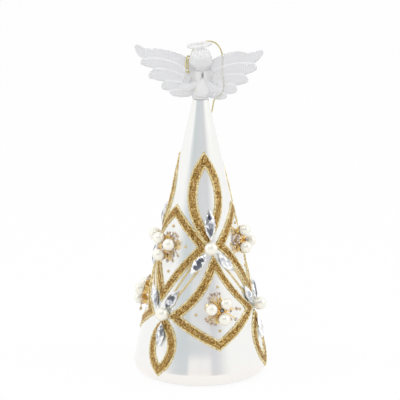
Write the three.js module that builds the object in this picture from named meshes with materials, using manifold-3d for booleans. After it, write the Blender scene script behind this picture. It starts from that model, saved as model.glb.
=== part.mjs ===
// A glass angel ornament: a blown, pearl-lacquered cone as its dress, dressed with glitter bands,
// pearls, marquise crystals and little pearl sprays, under a solid glass bust with wings and a halo,
// and a thin gold cord to hang it by. Millimetres, +Z up, the angel faces -Y, and the origin is the
// centre of the flat foot.
import * as THREE from 'three';
import { mergeVertices } from 'three/addons/utils/BufferGeometryUtils.js';
import Module from 'manifold-3d';

const wasm = await Module();
wasm.setup();

// The clearance that neighbouring pieces keep, and how close two points of one solid are the same.
const seatGap = 0.3;
const weldReach = 0.0003;

// Dress: a straight cone that turns in over a rounded foot.
const dressHeight = 159.4;
const dressSpread = 40;
const neckRadius = 4.55;
const footCorner = 6.6;
const glassWall = 1.2;
const dressFacets = 48;

// Bands: a glitter field between two raised liner lines. The brush made each side of a motif a
// little wider or narrower, and the mitred corners are blunter outside than inside.
const bandWidth = 5.4;
const fieldShare = 0.64;
const fieldHeight = 0.35;
const linerHeight = 0.55;
const innerMitreShare = 0.4;
const outerMitreShare = 0.8;
const upperLeafWidthShares = [0.96, 1.1];
const upperDiamondWidthShares = [1.02, 0.93, 0.93, 1.02];
const lowerDiamondWidthShares = [0.95, 1.05, 1.05, 0.97];
const lowerLeafWidthShares = [1.08, 1.03];

// The bands meet at two rows of nodes. Their corners are so far above or below a node's centre, and
// the half turns round the dress are those of the bands' centre lines.
const upperNodeHeight = 77.7;
const lowerNodeHeight = 41;
const upperLeafLift = 5.7;
const upperLeafLength = 42.3;
const upperLeafHalfTurn = 26.5;
const upperDiamondTopLift = 19.7;
const upperDiamondSideLift = 1.4;
const upperDiamondFootLift = 8.3;
const upperDiamondHalfTurn = 46.5;
const upperDiamondHollows = [0, 0.8, 0.8, 0];
const lowerDiamondTopDrop = 8.1;
const lowerDiamondSideDrop = 0.4;
const lowerDiamondFootDrop = 17.2;
const lowerDiamondHalfTurn = 43.5;
const lowerDiamondHollows = [2.4, -0.8, -0.8, 4];
const lowerLeafDrop = 6.4;
const lowerLeafLength = 27.8;
const lowerLeafHalfTurn = 10.4;

// The bands were laid by hand, so each motif has its own place round the dress, in degrees from
// the front round towards +X.
const upperLeafTurns = [10.2, 134.5, 253];
const upperNodeTurns = [12.5, 134.5, 254];
const upperDiamondTurns = [-48, 75.5, 194];
const lowerDiamondTurns = [17.5, 135.5, 254];
const lowerNodeTurns = [-41, 75, 194.5];
const lowerLeafTurns = [-39.5, 74.5, 194.5];

// Nodes: each has a pearl with three marquise crystals round it.
const pearlDiameter = 7.6;
const crystalLength = 13.4;
const crystalWidth = 6;
const crystalDepth = 2.3;
const crystalGirdle = 1;
const crystalBackShare = 0.52;
const crystalTableShare = 0.5;
const straightCrystalReach = 13.8;
const upperChannelReach = 8;
const lowerChannelReach = 4;

// Channel trims: a thin gold outline from crystal to crystal between two diamonds.
const trimWidth = 1.1;
const trimHeight = 0.5;
const trimSpacing = 4.4;
const trimTuck = 1.3;

// Pearl sprays: three pearls in cups on stems round a hub, and branches with knobbed tips between
// them. A knob's shares are of its size: how far it starts before the tip, and how far its widest
// place is. A cup's are of its pearl's diameter: the radii of its foot and its rim, and how far the
// rim stands above the pearl's lowest place. A spray sits so far below or above its diamond's side
// corners, in a column of its own, and is turned in its place.
const upperSprayDrop = 3.6;
const lowerSprayLift = 2.6;
const sprayPearlDiameter = 6.8;
const sprayPearlReach = 5.2;
const sprayPearlRise = 1.7;
const sprayPearlTurns = [59, 184, 289];
const sprayCupShares = [0.2, 0.37, 0.16];
const sprayHubDiameter = 3.6;
const sprayHubHeight = 4.2;
const sprayStem = 0.6;
const sprayKnob = 1.3;
const sprayKnobShares = [1.4, 0.5];
const sprayReach = 10.6;
const sprayBranchTurns = [102, 125, 209, 235, 0, 324];
const sprayBranchShares = [0.94, 0.84, 0.98, 0.86, 0.7, 0.98];
const upperSprayTurns = [-51, 75.5, 194];
const lowerSprayTurns = [20.5, 135.5, 254];
const upperSprayTilts = [-42, 55, -40];
const lowerSprayTilts = [0, 50, -25];

// Bust: torso, head with its fall of hair, sleeves, wings and halo, all solid glass. The torso's
// rings are shares of the rise and of the swell from its foot to the shoulders, and the collar's are
// shares of the rise and of the narrowing from there. The head's are of its height, half width and
// half depth.
const torsoFootRadius = 4.2;
const shoulderRise = 11.6;
const shoulderHalfWidth = 7.8;
const shoulderHalfDepth = 4.6;
const collarRise = 5.2;
const collarHalfWidth = 6.2;
const collarHalfDepth = 5;
const headHeight = 13.1;
const headHalfWidth = 6.6;
const headHalfDepth = 6.2;
const bustFacets = 22;
const torsoShares = [[0, 0], [0.35, 0.18], [0.7, 0.74], [1, 1]];
const collarShares = [[0.6, 0.44], [1, 1]];
const headShares = [
  [0, 0.95, 0.85],
  [0.25, 1, 0.97],
  [0.45, 0.98, 1],
  [0.68, 0.85, 0.9],
  [0.85, 0.63, 0.68],
  [0.96, 0.34, 0.36],
  [1, 0.08, 0.08],
];

// Sleeves: arms from the shoulders to bell sleeves, which narrow to hands that meet in front. Hands
// and mouths are so far below the shoulders. The shares are places on the way from the hand to the
// mouth or from the shoulder to the elbow, and the widths there.
const handDrop = 2.5;
const handReach = 8.2;
const handRadius = 1.2;
const handSide = 1.6;
const sleeveSpread = 11;
const sleeveMouth = 3.1;
const sleeveWall = 0.7;
const sleeveDish = 1.4;
const sleeveSetBack = 4.8;
const leftSleeveDrop = 4.6;
const rightSleeveDrop = 6;
const armRadius = 2.6;
const fingertipShare = 0.6;
const wristShare = 0.25;
const sleeveBendShare = 0.5;
const sleeveBendWidthShare = 0.72;
const elbowShare = 0.25;
const armBendShare = 0.45;
const armWidthShares = [0.7, 1, 0.95];

// Wings: each is five feathers, listed from the top down. Their spots are points of the centre line
// from root to tip, as shares of the span and of the rise over the lowest feather, and their halves
// are half widths, as shares of the rise. A feather rounds off over the last part of its length, to
// a blunt tip.
const wingSpan = 36.6;
const wingRise = 30.6;
const wingFootRise = 0.8;
const wingThickness = 3;
const wingSetBack = 5.2;
const wingSweep = 3;
const featherTipShare = 0.25;
const featherBluntShare = 0.32;
const featherThinShare = 0.6;
const leftFeatherShares = [
  {
    spots: [[0.1, 0.45], [0.33, 0.645], [0.63, 0.745], [0.86, 0.765], [1.01, 0.92]],
    halves: [0.1, 0.125, 0.115, 0.11, 0.06],
  },
  {
    spots: [[0.1, 0.34], [0.42, 0.55], [0.62, 0.61], [0.8, 0.615], [0.93, 0.6]],
    halves: [0.1, 0.12, 0.13, 0.13, 0.1],
  },
  {
    spots: [[0.1, 0.25], [0.4, 0.355], [0.57, 0.38], [0.71, 0.375], [0.8, 0.33]],
    halves: [0.1, 0.12, 0.13, 0.13, 0.1],
  },
  { spots: [[0.1, 0.17], [0.32, 0.175], [0.5, 0.17], [0.61, 0.14]], halves: [0.1, 0.115, 0.125, 0.085] },
  { spots: [[0.08, 0.1], [0.25, 0.055], [0.4, 0.05], [0.48, 0.04]], halves: [0.09, 0.1, 0.095, 0.065] },
];
const rightFeatherShares = [
  {
    spots: [[0.1, 0.43], [0.28, 0.595], [0.53, 0.695], [0.77, 0.675], [0.965, 0.81]],
    halves: [0.1, 0.125, 0.115, 0.11, 0.065],
  },
  {
    spots: [[0.1, 0.33], [0.32, 0.46], [0.56, 0.5], [0.76, 0.505], [0.87, 0.49]],
    halves: [0.1, 0.11, 0.12, 0.135, 0.1],
  },
  {
    spots: [[0.1, 0.24], [0.32, 0.29], [0.5, 0.3], [0.64, 0.285], [0.735, 0.255]],
    halves: [0.1, 0.11, 0.12, 0.125, 0.09],
  },
  { spots: [[0.1, 0.15], [0.3, 0.135], [0.46, 0.115], [0.56, 0.07]], halves: [0.1, 0.11, 0.12, 0.09] },
  { spots: [[0.08, 0.08], [0.22, 0.02], [0.34, -0.02], [0.4, -0.05]], halves: [0.09, 0.1, 0.09, 0.065] },
];

// Halo: a glass ring pressed down on the crown while both were soft.
const haloRadius = 6.25;
const haloRod = 2.1;
const haloPress = 1.1;
const haloSetBack = 2.6;
const haloTilt = 4.5;
const haloSide = -0.6;

// Hanging cord: a thin metallic cord, knotted beside the neck.
const cordDiameter = 0.8;
const knotDiameter = 2.2;
const knotPlace = new THREE.Vector3(-7.3, -2.4, 175.2);
const cordStep = 2.4;
const cordRoute = [
  [-6.9, -1.1, 176.2],
  [-7.1, 0.8, 178],
  [-6.9, 2.9, 180.6],
  [-5.8, 4.7, 183],
  [-4.8, 7, 184.9],
  [-4.1, 9.2, 185.8],
  [-2.6, 11, 187.6],
  [0.6, 11.4, 188.7],
  [4, 11.2, 190.2],
  [8.2, 10.8, 189.3],
  [11, 10.4, 186.2],
  [12.4, 10.2, 181.6],
  [12.3, 10.3, 176.5],
  [12.5, 10.6, 170.5],
  [13.2, 11, 164.6],
  [11.6, 11.2, 159.6],
  [8, 11.4, 156.7],
  [6.6, 12.2, 150.4],
  [5, 13.8, 143.6],
  [2.6, 15.8, 137],
  [-0.4, 17.4, 132.8],
  [-3, 17.6, 133.4],
  [-4, 16.4, 138],
  [-3.6, 14.4, 145],
  [-2.8, 12.6, 152.5],
  [-2.2, 11.4, 160],
  [-2.4, 10.8, 167],
  [-3.6, 10.6, 173.5],
  [-5.2, 10.2, 178.4],
  [-6.4, 8, 181.8],
  [-7.4, 5.2, 182.6],
  [-8.1, 2.7, 180.4],
  [-8.3, 0.8, 178],
  [-8.1, -0.8, 176.5],
];

const goldGlitter = new THREE.MeshStandardMaterial({ color: 0x9a6f22, roughness: 0.45, metalness: 0.7 });
const goldTrim = new THREE.MeshStandardMaterial({ color: 0xe3c878, roughness: 0.3, metalness: 0.9 });
const frostedGlass = new THREE.MeshStandardMaterial({ color: 0xe6e7e8, roughness: 0.25, metalness: 0 });
const pearlLacquer = new THREE.MeshStandardMaterial({ color: 0xe9ebea, roughness: 0.12, metalness: 0.15 });
const pearlWhite = new THREE.MeshStandardMaterial({ color: 0xfbf7ee, roughness: 0.2, metalness: 0 });
const crystalGlass = new THREE.MeshStandardMaterial({ color: 0xc9ced6, roughness: 0.05, metalness: 0.4 });

const coneSlope = (dressSpread - neckRadius) / dressHeight;
const coneAngle = Math.atan(coneSlope);
const apexHeight = dressSpread / coneSlope;
const cornerAxis = dressSpread - coneSlope * footCorner - footCorner / Math.cos(coneAngle);
const cornerTop = footCorner * (1 + Math.sin(coneAngle));

const shoulderHeight = dressHeight + shoulderRise;
const collarHeight = shoulderHeight + collarRise;
const halfTurn = 180;

// Heights on the dress of the bands' corners.
const upperDiamondTop = upperNodeHeight + upperDiamondTopLift;
const upperDiamondSide = upperNodeHeight + upperDiamondSideLift;
const upperDiamondFoot = lowerNodeHeight + upperDiamondFootLift;
const lowerDiamondTop = upperNodeHeight - lowerDiamondTopDrop;
const lowerDiamondSide = lowerNodeHeight - lowerDiamondSideDrop;
const lowerDiamondFoot = lowerNodeHeight - lowerDiamondFootDrop;
const upperLeafFoot = upperNodeHeight + upperLeafLift;
const lowerLeafTop = lowerNodeHeight - lowerLeafDrop;

// The distance down the cone's straight side from its apex to a height.
function slantAt(height) {
  return (apexHeight - height) / Math.cos(coneAngle);
}

// A point of the dress's outline by its distance from the apex, with the way out of the glass there.
function outlineAt(slant) {
  const past = Math.max(0, slant - slantAt(cornerTop)) / footCorner;
  const tilt = coneAngle - past;
  const out = new THREE.Vector2(Math.cos(tilt), Math.sin(tilt));
  if (past > 0) {
    return { place: new THREE.Vector2(cornerAxis, footCorner).addScaledVector(out, footCorner), out };
  }
  const place = new THREE.Vector2(slant * Math.sin(coneAngle), apexHeight - slant * Math.cos(coneAngle));
  return { place, out };
}

// The dress is a developable cone, so the pattern is drawn flat, with the apex at zero and the
// dress below it, and rolled on: x goes across the column, y up it, lift is out of the glass.
function onDress(flat, lift, columnTurn) {
  const { place, out } = outlineAt(flat.length());
  const turn = THREE.MathUtils.degToRad(columnTurn) + Math.atan2(flat.x, -flat.y) / Math.sin(coneAngle);
  const radius = place.x + out.x * lift;
  return new THREE.Vector3(radius * Math.sin(turn), -radius * Math.cos(turn), place.y + out.y * lift);
}

// A frame on the dress whose x runs along a direction of the flat pattern and whose z points out.
function seatOnDress(flat, direction, lift, columnTurn) {
  const place = onDress(flat, lift, columnTurn);
  const out = onDress(flat, lift + seatGap, columnTurn).sub(place).normalize();
  const ahead = onDress(flat.clone().addScaledVector(direction, seatGap), lift, columnTurn).sub(place);
  const across = new THREE.Vector3().crossVectors(out, ahead).normalize();
  const along = new THREE.Vector3().crossVectors(across, out);
  return new THREE.Matrix4().makeBasis(along, across, out).setPosition(place);
}

// A closed body from a row of rings with as many points each, with flat or pointed ends.
function loft(rings) {
  const sides = rings[0].length;
  const points = rings.flat();
  const faces = [];
  for (let ring = 0; ring + 1 < rings.length; ring += 1) {
    for (let side = 0; side < sides; side += 1) {
      const a = ring * sides + side;
      const b = ring * sides + (side + 1) % sides;
      faces.push(a, b, b + sides, a, b + sides, a + sides);
    }
  }
  const last = (rings.length - 1) * sides;
  for (let side = 1; side + 1 < sides; side += 1) {
    faces.push(0, side + 1, side, last, last + side, last + side + 1);
  }
  return indexed(points, faces);
}

// A closed loop of sections with as many points each.
function hoop(rings) {
  const sides = rings[0].length;
  const faces = [];
  for (let ring = 0; ring < rings.length; ring += 1) {
    const next = (ring + 1) % rings.length;
    for (let side = 0; side < sides; side += 1) {
      const beside = (side + 1) % sides;
      const a = ring * sides + side;
      const b = ring * sides + beside;
      const c = next * sides + beside;
      const d = next * sides + side;
      faces.push(a, b, c, a, c, d);
    }
  }
  return indexed(rings.flat(), faces);
}

function indexed(points, faces) {
  const geometry = new THREE.BufferGeometry();
  const places = points.flatMap((point) => point.toArray());
  geometry.setAttribute('position', new THREE.Float32BufferAttribute(places, 3));
  geometry.setIndex(faces);
  return geometry;
}

function toSolid(geometry) {
  const bare = geometry.clone();
  bare.deleteAttribute('normal');
  bare.deleteAttribute('uv');
  const merged = mergeVertices(bare, weldReach);
  return new wasm.Manifold(new wasm.Mesh({
    numProp: 3,
    vertProperties: merged.attributes.position.array,
    triVerts: new Uint32Array(merged.index.array),
  }));
}

function toGeometry(solid) {
  const mesh = solid.getMesh();
  const geometry = new THREE.BufferGeometry();
  geometry.setAttribute('position', new THREE.BufferAttribute(mesh.vertProperties, 3));
  geometry.setIndex(new THREE.BufferAttribute(mesh.triVerts, 1));
  return geometry;
}

function joined(geometries) {
  return geometries.map(toSolid).reduce((whole, piece) => whole.add(piece));
}

const angel = new THREE.Group();

function add(name, geometry, material, matrix) {
  const mesh = new THREE.Mesh(geometry, material);
  mesh.name = name;
  if (matrix) {
    mesh.applyMatrix4(matrix);
  }
  angel.add(mesh);
  return mesh;
}

// The round foot's outline from the straight side to the flat, held off the glass by an offset.
function footArc(offset, steps) {
  const centre = new THREE.Vector2(cornerAxis, footCorner);
  return Array.from({ length: steps + 1 }, (_, step) => {
    const tilt = THREE.MathUtils.lerp(coneAngle, -Math.PI / 2, step / steps);
    const out = new THREE.Vector2(Math.cos(tilt), Math.sin(tilt));
    return centre.clone().addScaledVector(out, footCorner + offset);
  });
}

// The dress: outside down from the neck, round the foot, and back up inside the wall.
function dressShell() {
  const profile = [
    new THREE.Vector2(neckRadius, dressHeight),
    ...footArc(0, 5),
    new THREE.Vector2(0, 0),
    new THREE.Vector2(0, glassWall),
    ...footArc(-glassWall, 3).reverse(),
    new THREE.Vector2(neckRadius - glassWall / Math.cos(coneAngle), dressHeight),
    new THREE.Vector2(neckRadius, dressHeight),
  ];
  return new THREE.LatheGeometry(profile.reverse(), dressFacets).rotateX(Math.PI / 2);
}

// The whole space inside the dress's outside, grown by an offset.
function dressOutside(offset) {
  const grown = offset / Math.cos(coneAngle);
  const profile = [
    new THREE.Vector2(0, dressHeight),
    new THREE.Vector2(neckRadius + grown, dressHeight),
    ...footArc(offset, 5),
    new THREE.Vector2(0, -offset),
  ];
  return new THREE.LatheGeometry(profile.reverse(), dressFacets).rotateX(Math.PI / 2);
}

// The section of a band, across it and out of the glass, with a raised liner line at each edge.
const fieldWidth = bandWidth * fieldShare;
const bandSection = [
  [-bandWidth / 2, 0],
  [0, 0],
  [bandWidth / 2, 0],
  [(bandWidth + fieldWidth) / 4, linerHeight],
  [fieldWidth / 2, fieldHeight],
  [-fieldWidth / 2, fieldHeight],
  [-(bandWidth + fieldWidth) / 4, linerHeight],
];

const trimSection = [
  [-trimWidth / 2, 0],
  [trimWidth / 2, 0],
  [trimWidth / 4, trimHeight],
  [-trimWidth / 4, trimHeight],
];

// A ribbon with mitred corners along a closed path of the flat pattern, rolled on to the dress.
// Its sides have their own shares of the section's width, and a corner has the mean of its two.
function ribbon(path, section, columnTurn, widthShares = [1]) {
  const stepsPerSide = path.length / widthShares.length;
  return hoop(path.map((point, index) => {
    const before = path.at(index - 1).clone().sub(point).normalize().negate();
    const after = path[(index + 1) % path.length].clone().sub(point).normalize();
    const mean = before.clone().add(after).normalize();
    const normal = new THREE.Vector2(-mean.y, mean.x);
    const side = Math.floor(index / stepsPerSide);
    const share = index % stepsPerSide === 0
      ? (widthShares[side] + widthShares.at(side - 1)) / 2
      : widthShares[side];
    return section.map(([across, height]) => {
      const mitreShare = across > 0 ? outerMitreShare : innerMitreShare;
      const reach = (across * share) / Math.max(before.dot(mean), mitreShare);
      return onDress(point.clone().addScaledVector(normal, reach), seatGap + height, columnTurn);
    });
  }));
}

// A pointed oval from one slant distance to another, clockwise from its top.
function leafPath(top, foot, halfAngle) {
  const steps = 9;
  const halfWidth = THREE.MathUtils.lerp(top, foot, 1 / 2) * Math.sin(halfAngle * Math.sin(coneAngle));
  const path = [];
  for (let step = 0; step < 2 * steps; step += 1) {
    const share = (step < steps ? step : 2 * steps - step) / steps;
    const across = 4 * halfWidth * share * (1 - share) * (step < steps ? 1 : -1);
    path.push(new THREE.Vector2(across, -THREE.MathUtils.lerp(top, foot, share)));
  }
  return path;
}

// A kite whose four sides run straight, or hollow by their own depth, between its corners.
function diamondPath(top, side, foot, halfAngle, hollows) {
  const steps = 6;
  const lean = halfAngle * Math.sin(coneAngle);
  const corners = [
    new THREE.Vector2(0, -top),
    new THREE.Vector2(side * Math.sin(lean), -side * Math.cos(lean)),
    new THREE.Vector2(0, -foot),
    new THREE.Vector2(-side * Math.sin(lean), -side * Math.cos(lean)),
  ];
  return corners.flatMap((corner, index) => {
    const reach = corners[(index + 1) % corners.length].clone().sub(corner);
    const inward = new THREE.Vector2(reach.y, -reach.x).normalize();
    return Array.from({ length: steps }, (_, step) => {
      const share = step / steps;
      const depth = 4 * hollows[index] * share * (1 - share);
      return corner.clone().addScaledVector(reach, share).addScaledVector(inward, depth);
    });
  });
}

function bands() {
  const upperLeafTop = upperLeafFoot + upperLeafLength;
  const lowerLeafFoot = lowerLeafTop - lowerLeafLength;
  const upperLeafAngle = THREE.MathUtils.degToRad(upperLeafHalfTurn);
  const lowerLeafAngle = THREE.MathUtils.degToRad(lowerLeafHalfTurn);
  const upperLeaf = leafPath(slantAt(upperLeafTop), slantAt(upperLeafFoot), upperLeafAngle);
  const lowerLeaf = leafPath(slantAt(lowerLeafTop), slantAt(lowerLeafFoot), lowerLeafAngle);
  const upperDiamond = diamondPath(
    slantAt(upperDiamondTop),
    slantAt(upperDiamondSide),
    slantAt(upperDiamondFoot),
    THREE.MathUtils.degToRad(upperDiamondHalfTurn),
    upperDiamondHollows,
  );
  const lowerDiamond = diamondPath(
    slantAt(lowerDiamondTop),
    slantAt(lowerDiamondSide),
    slantAt(lowerDiamondFoot),
    THREE.MathUtils.degToRad(lowerDiamondHalfTurn),
    lowerDiamondHollows,
  );
  const motifs = [
    ['upper_leaf_band', upperLeaf, upperLeafTurns, upperLeafWidthShares],
    ['upper_diamond_band', upperDiamond, upperDiamondTurns, upperDiamondWidthShares],
    ['lower_diamond_band', lowerDiamond, lowerDiamondTurns, lowerDiamondWidthShares],
    ['lower_leaf_band', lowerLeaf, lowerLeafTurns, lowerLeafWidthShares],
  ];
  const dressForm = toSolid(dressOutside(seatGap / 2));
  for (const [name, path, turns, widthShares] of motifs) {
    turns.forEach((turn, index) => {
      const band = ribbon(path, bandSection, turn, widthShares);
      const seated = path === lowerLeaf ? toGeometry(toSolid(band).subtract(dressForm)) : band;
      add(`${name}_${index + 1}`, seated, goldGlitter);
    });
  }
}

// A boat-shaped stone: a small foil back, the full outline at the girdle, and a table on top.
function marquise() {
  const points = 10;
  const ring = (share, height) => Array.from({ length: points }, (_, index) => {
    const along = Math.cos((2 * Math.PI * index) / points);
    const across = Math.sign(Math.sin((2 * Math.PI * index) / points)) * (1 - along * along);
    return new THREE.Vector3(along * share * crystalLength / 2, across * share * crystalWidth / 2, height);
  });
  return loft([ring(crystalBackShare, 0), ring(1, crystalGirdle), ring(crystalTableShare, crystalDepth)]);
}

function nodePearl() {
  return new THREE.SphereGeometry(pearlDiameter / 2, 12, 6);
}

// A point of the flat pattern by its slant distance and its turn from the column.
function pointOf(slant, turn) {
  const angle = THREE.MathUtils.degToRad(turn) * Math.sin(coneAngle);
  return new THREE.Vector2(slant * Math.sin(angle), -slant * Math.cos(angle));
}

// The turn from one column to another, the short way round.
function turnBetween(from, to) {
  return THREE.MathUtils.euclideanModulo(to - from + halfTurn, 2 * halfTurn) - halfTurn;
}

function addCrystal(name, spot, direction, lift, turn) {
  add(name, marquise(), crystalGlass, seatOnDress(spot, direction, lift, turn));
}

// Each node is a pearl with a crystal straight above or below it.
function nodes() {
  const pearlLift = seatGap + linerHeight + pearlDiameter / 2;
  const rows = [
    ['upper', upperNodeTurns, slantAt(upperNodeHeight), new THREE.Vector2(0, 1)],
    ['lower', lowerNodeTurns, slantAt(lowerNodeHeight), new THREE.Vector2(0, -1)],
  ];
  for (const [row, turns, slant, straight] of rows) {
    turns.forEach((turn, column) => {
      const centre = pointOf(slant, 0);
      const spot = centre.clone().addScaledVector(straight, straightCrystalReach);
      const seat = seatOnDress(centre, straight, pearlLift, turn);
      add(`${row}_pearl_${column + 1}`, nodePearl(), pearlWhite, seat);
      addCrystal(`${row}_crystal_${column + 1}a`, spot, straight, seatGap + linerHeight, turn);
    });
  }
}

// The free lane between a lower diamond and the upper diamond on one side of it, from its upper
// end to its lower end, in the flat frame of the lower diamond's column.
function channelBeside(lowerTurn, upperTurn) {
  const apart = turnBetween(lowerTurn, upperTurn);
  const toward = Math.sign(apart);
  const lowerTop = pointOf(slantAt(lowerDiamondTop), 0);
  const lowerSide = pointOf(slantAt(lowerDiamondSide), toward * lowerDiamondHalfTurn);
  const upperSide = pointOf(slantAt(upperDiamondSide), apart - toward * upperDiamondHalfTurn);
  const upperFoot = pointOf(slantAt(upperDiamondFoot), apart);
  const top = lowerTop.lerp(upperSide, 1 / 2);
  const foot = lowerSide.lerp(upperFoot, 1 / 2);
  return { top, foot, along: foot.clone().sub(top).normalize() };
}

// Each channel has a crystal at both ends and a long thin outline whose ends tuck under their tips.
function channels() {
  lowerDiamondTurns.forEach((turn, column) => {
    const beside = [column, (column + 1) % upperDiamondTurns.length];
    beside.forEach((other, index) => {
      const { top, foot, along } = channelBeside(turn, upperDiamondTurns[other]);
      const upperSpot = top.clone().addScaledVector(along, upperChannelReach);
      const lowerSpot = foot.clone().addScaledVector(along, -lowerChannelReach);
      const lift = seatGap + fieldHeight;
      addCrystal(`upper_crystal_${column + 1}${'bc'[index]}`, upperSpot, along, lift, turn);
      addCrystal(`lower_crystal_${other + 1}${'cb'[index]}`, lowerSpot, along, lift, turn);
      const reach = upperSpot.distanceTo(lowerSpot) / 2 - crystalLength / 2 + trimTuck;
      const middle = upperSpot.clone().lerp(lowerSpot, 1 / 2);
      const trim = ribbon(trimPath(middle, along, reach), trimSection, turn);
      add(`channel_trim_${column + 1}${'ab'[index]}`, trim, goldTrim);
    });
  });
}

// A closed outline with straight sides and half-round ends, clockwise from its head.
function trimPath(middle, along, reach) {
  const endSteps = 4;
  const sideSteps = 4;
  const radius = trimSpacing / 2;
  const straight = reach - radius;
  const across = new THREE.Vector2(-along.y, along.x);
  return [1, -1].flatMap((end) => {
    const round = Array.from({ length: endSteps + 1 }, (_, step) => {
      const angle = Math.PI / 2 - (Math.PI * step) / endSteps;
      return [end * (straight + radius * Math.cos(angle)), end * radius * Math.sin(angle)];
    });
    const side = Array.from({ length: sideSteps - 1 }, (_, step) => (
      [end * straight * (1 - (2 * (step + 1)) / sideSteps), -end * radius]
    ));
    return [...round, ...side];
  }).map(([ahead, aside]) => middle.clone().addScaledVector(along, ahead).addScaledVector(across, aside));
}

// A thin gold strip rolled on to the dress along one direction: places along it, with half widths.
function sprayStrip(centre, along, spots, turn) {
  const across = new THREE.Vector2(-along.y, along.x);
  const middle = seatGap + sprayHubHeight / 2;
  return loft(spots.map(([reach, half]) => {
    const spot = centre.clone().addScaledVector(along, reach);
    const corners = [[half, -half], [half, half], [-half, half], [-half, -half]];
    return corners.map(([side, height]) => (
      onDress(spot.clone().addScaledVector(across, side), middle + height, turn)
    ));
  }));
}

// A branch ends in a knob, and its root is inside the hub.
function sprayBranch(centre, along, reach, turn) {
  const [neckShare, knobShare] = sprayKnobShares;
  const half = sprayStem / 2;
  const spots = [
    [sprayHubDiameter / 4, half],
    [reach - neckShare * sprayKnob, half],
    [reach - knobShare * sprayKnob, sprayKnob / 2],
    [reach, half / 2],
  ];
  return sprayStrip(centre, along, spots, turn);
}

// A pearl of a spray stands on the dress in a cup, with a stem to it from inside the hub.
function sprayPearl(centre, along, turn) {
  const [footShare, rimShare, depthShare] = sprayCupShares;
  const half = sprayStem / 2;
  const radius = sprayPearlDiameter / 2;
  const crown = radius * Math.SQRT1_2;
  const girth = sprayPearlRise + radius;
  const outline = [
    new THREE.Vector2(0, 0),
    new THREE.Vector2(footShare * sprayPearlDiameter, 0),
    new THREE.Vector2(rimShare * sprayPearlDiameter, sprayPearlRise + depthShare * sprayPearlDiameter),
    new THREE.Vector2(radius, girth),
    new THREE.Vector2(crown, girth + crown),
    new THREE.Vector2(0, girth + radius),
  ];
  const spot = centre.clone().addScaledVector(along, sprayPearlReach);
  const seat = seatOnDress(spot, along, seatGap, turn);
  const stem = [[sprayHubDiameter / 4, half], [sprayPearlReach - sprayStem, half]];
  return [
    sprayStrip(centre, along, stem, turn),
    new THREE.LatheGeometry(outline, 7).rotateX(Math.PI / 2).applyMatrix4(seat),
  ];
}

// Three pearls on stems and six knobbed branches, all out of the side of one hub.
function pearlSpray(slant, turn, tilt) {
  const centre = pointOf(slant, 0);
  const toward = (degrees) => {
    const angle = THREE.MathUtils.degToRad(degrees + tilt);
    return new THREE.Vector2(Math.cos(angle), Math.sin(angle));
  };
  const hub = new THREE.CylinderGeometry(sprayHubDiameter / 2, sprayHubDiameter / 2, sprayHubHeight, 6)
    .rotateX(Math.PI / 2)
    .applyMatrix4(seatOnDress(centre, toward(0), seatGap + sprayHubHeight / 2, turn));
  const branches = sprayBranchTurns.map((branch, index) => (
    sprayBranch(centre, toward(branch), sprayReach * sprayBranchShares[index], turn)
  ));
  const pearls = sprayPearlTurns.flatMap((pearl) => sprayPearl(centre, toward(pearl), turn));
  return toGeometry(joined([hub, ...branches, ...pearls]));
}

function sprays() {
  const rows = [
    ['upper', slantAt(upperDiamondSide - upperSprayDrop), upperSprayTurns, upperSprayTilts],
    ['lower', slantAt(lowerDiamondSide + lowerSprayLift), lowerSprayTurns, lowerSprayTilts],
  ];
  for (const [row, slant, turns, tilts] of rows) {
    turns.forEach((turn, index) => {
      add(`${row}_pearl_spray_${index + 1}`, pearlSpray(slant, turn, tilts[index]), pearlWhite);
    });
  }
}

// An upright ring of a body that is an oval in plan.
function ovalRing(height, halfWidth, halfDepth) {
  return Array.from({ length: bustFacets }, (_, index) => {
    const angle = (2 * Math.PI * index) / bustFacets;
    return new THREE.Vector3(halfWidth * Math.cos(angle), halfDepth * Math.sin(angle), height);
  });
}

// The torso widens from the dress's neck to the shoulders and draws in to the fall of the hair.
function torso(grown) {
  const { lerp } = THREE.MathUtils;
  const foot = dressHeight + seatGap - grown;
  const swell = torsoShares.map(([rise, share]) => ovalRing(
    lerp(foot, shoulderHeight, rise),
    lerp(torsoFootRadius, shoulderHalfWidth, share) + grown,
    lerp(torsoFootRadius, shoulderHalfDepth, share) + grown,
  ));
  const draw = collarShares.map(([rise, share]) => ovalRing(
    lerp(shoulderHeight, collarHeight + grown, rise),
    lerp(shoulderHalfWidth, collarHalfWidth, share) + grown,
    lerp(shoulderHalfDepth, collarHalfDepth, share) + grown,
  ));
  return loft([...swell, ...draw]);
}

// The head is a dome of hair over the collar.
function head(grown) {
  const foot = collarHeight + seatGap - grown;
  const whole = headHeight + 2 * grown;
  return loft(headShares.map(([rise, width, depth]) => (
    ovalRing(foot + rise * whole, width * headHalfWidth + grown, depth * headHalfDepth + grown)
  )));
}

// A round-sectioned body swept along points, each with its own half width and half thickness.
function swept(points, halfWidths, halfThicknesses, sides, flatWay) {
  const rings = points.map((point, index) => {
    const before = points[Math.max(0, index - 1)];
    const after = points[Math.min(points.length - 1, index + 1)];
    const along = after.clone().sub(before).normalize();
    const wide = new THREE.Vector3().crossVectors(flatWay, along).normalize();
    const thick = new THREE.Vector3().crossVectors(along, wide);
    return Array.from({ length: sides }, (_, side) => {
      const angle = (2 * Math.PI * side) / sides;
      return point.clone()
        .addScaledVector(wide, halfWidths[index] * Math.cos(angle))
        .addScaledVector(thick, halfThicknesses[index] * Math.sin(angle));
    });
  });
  return loft(rings);
}

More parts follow.
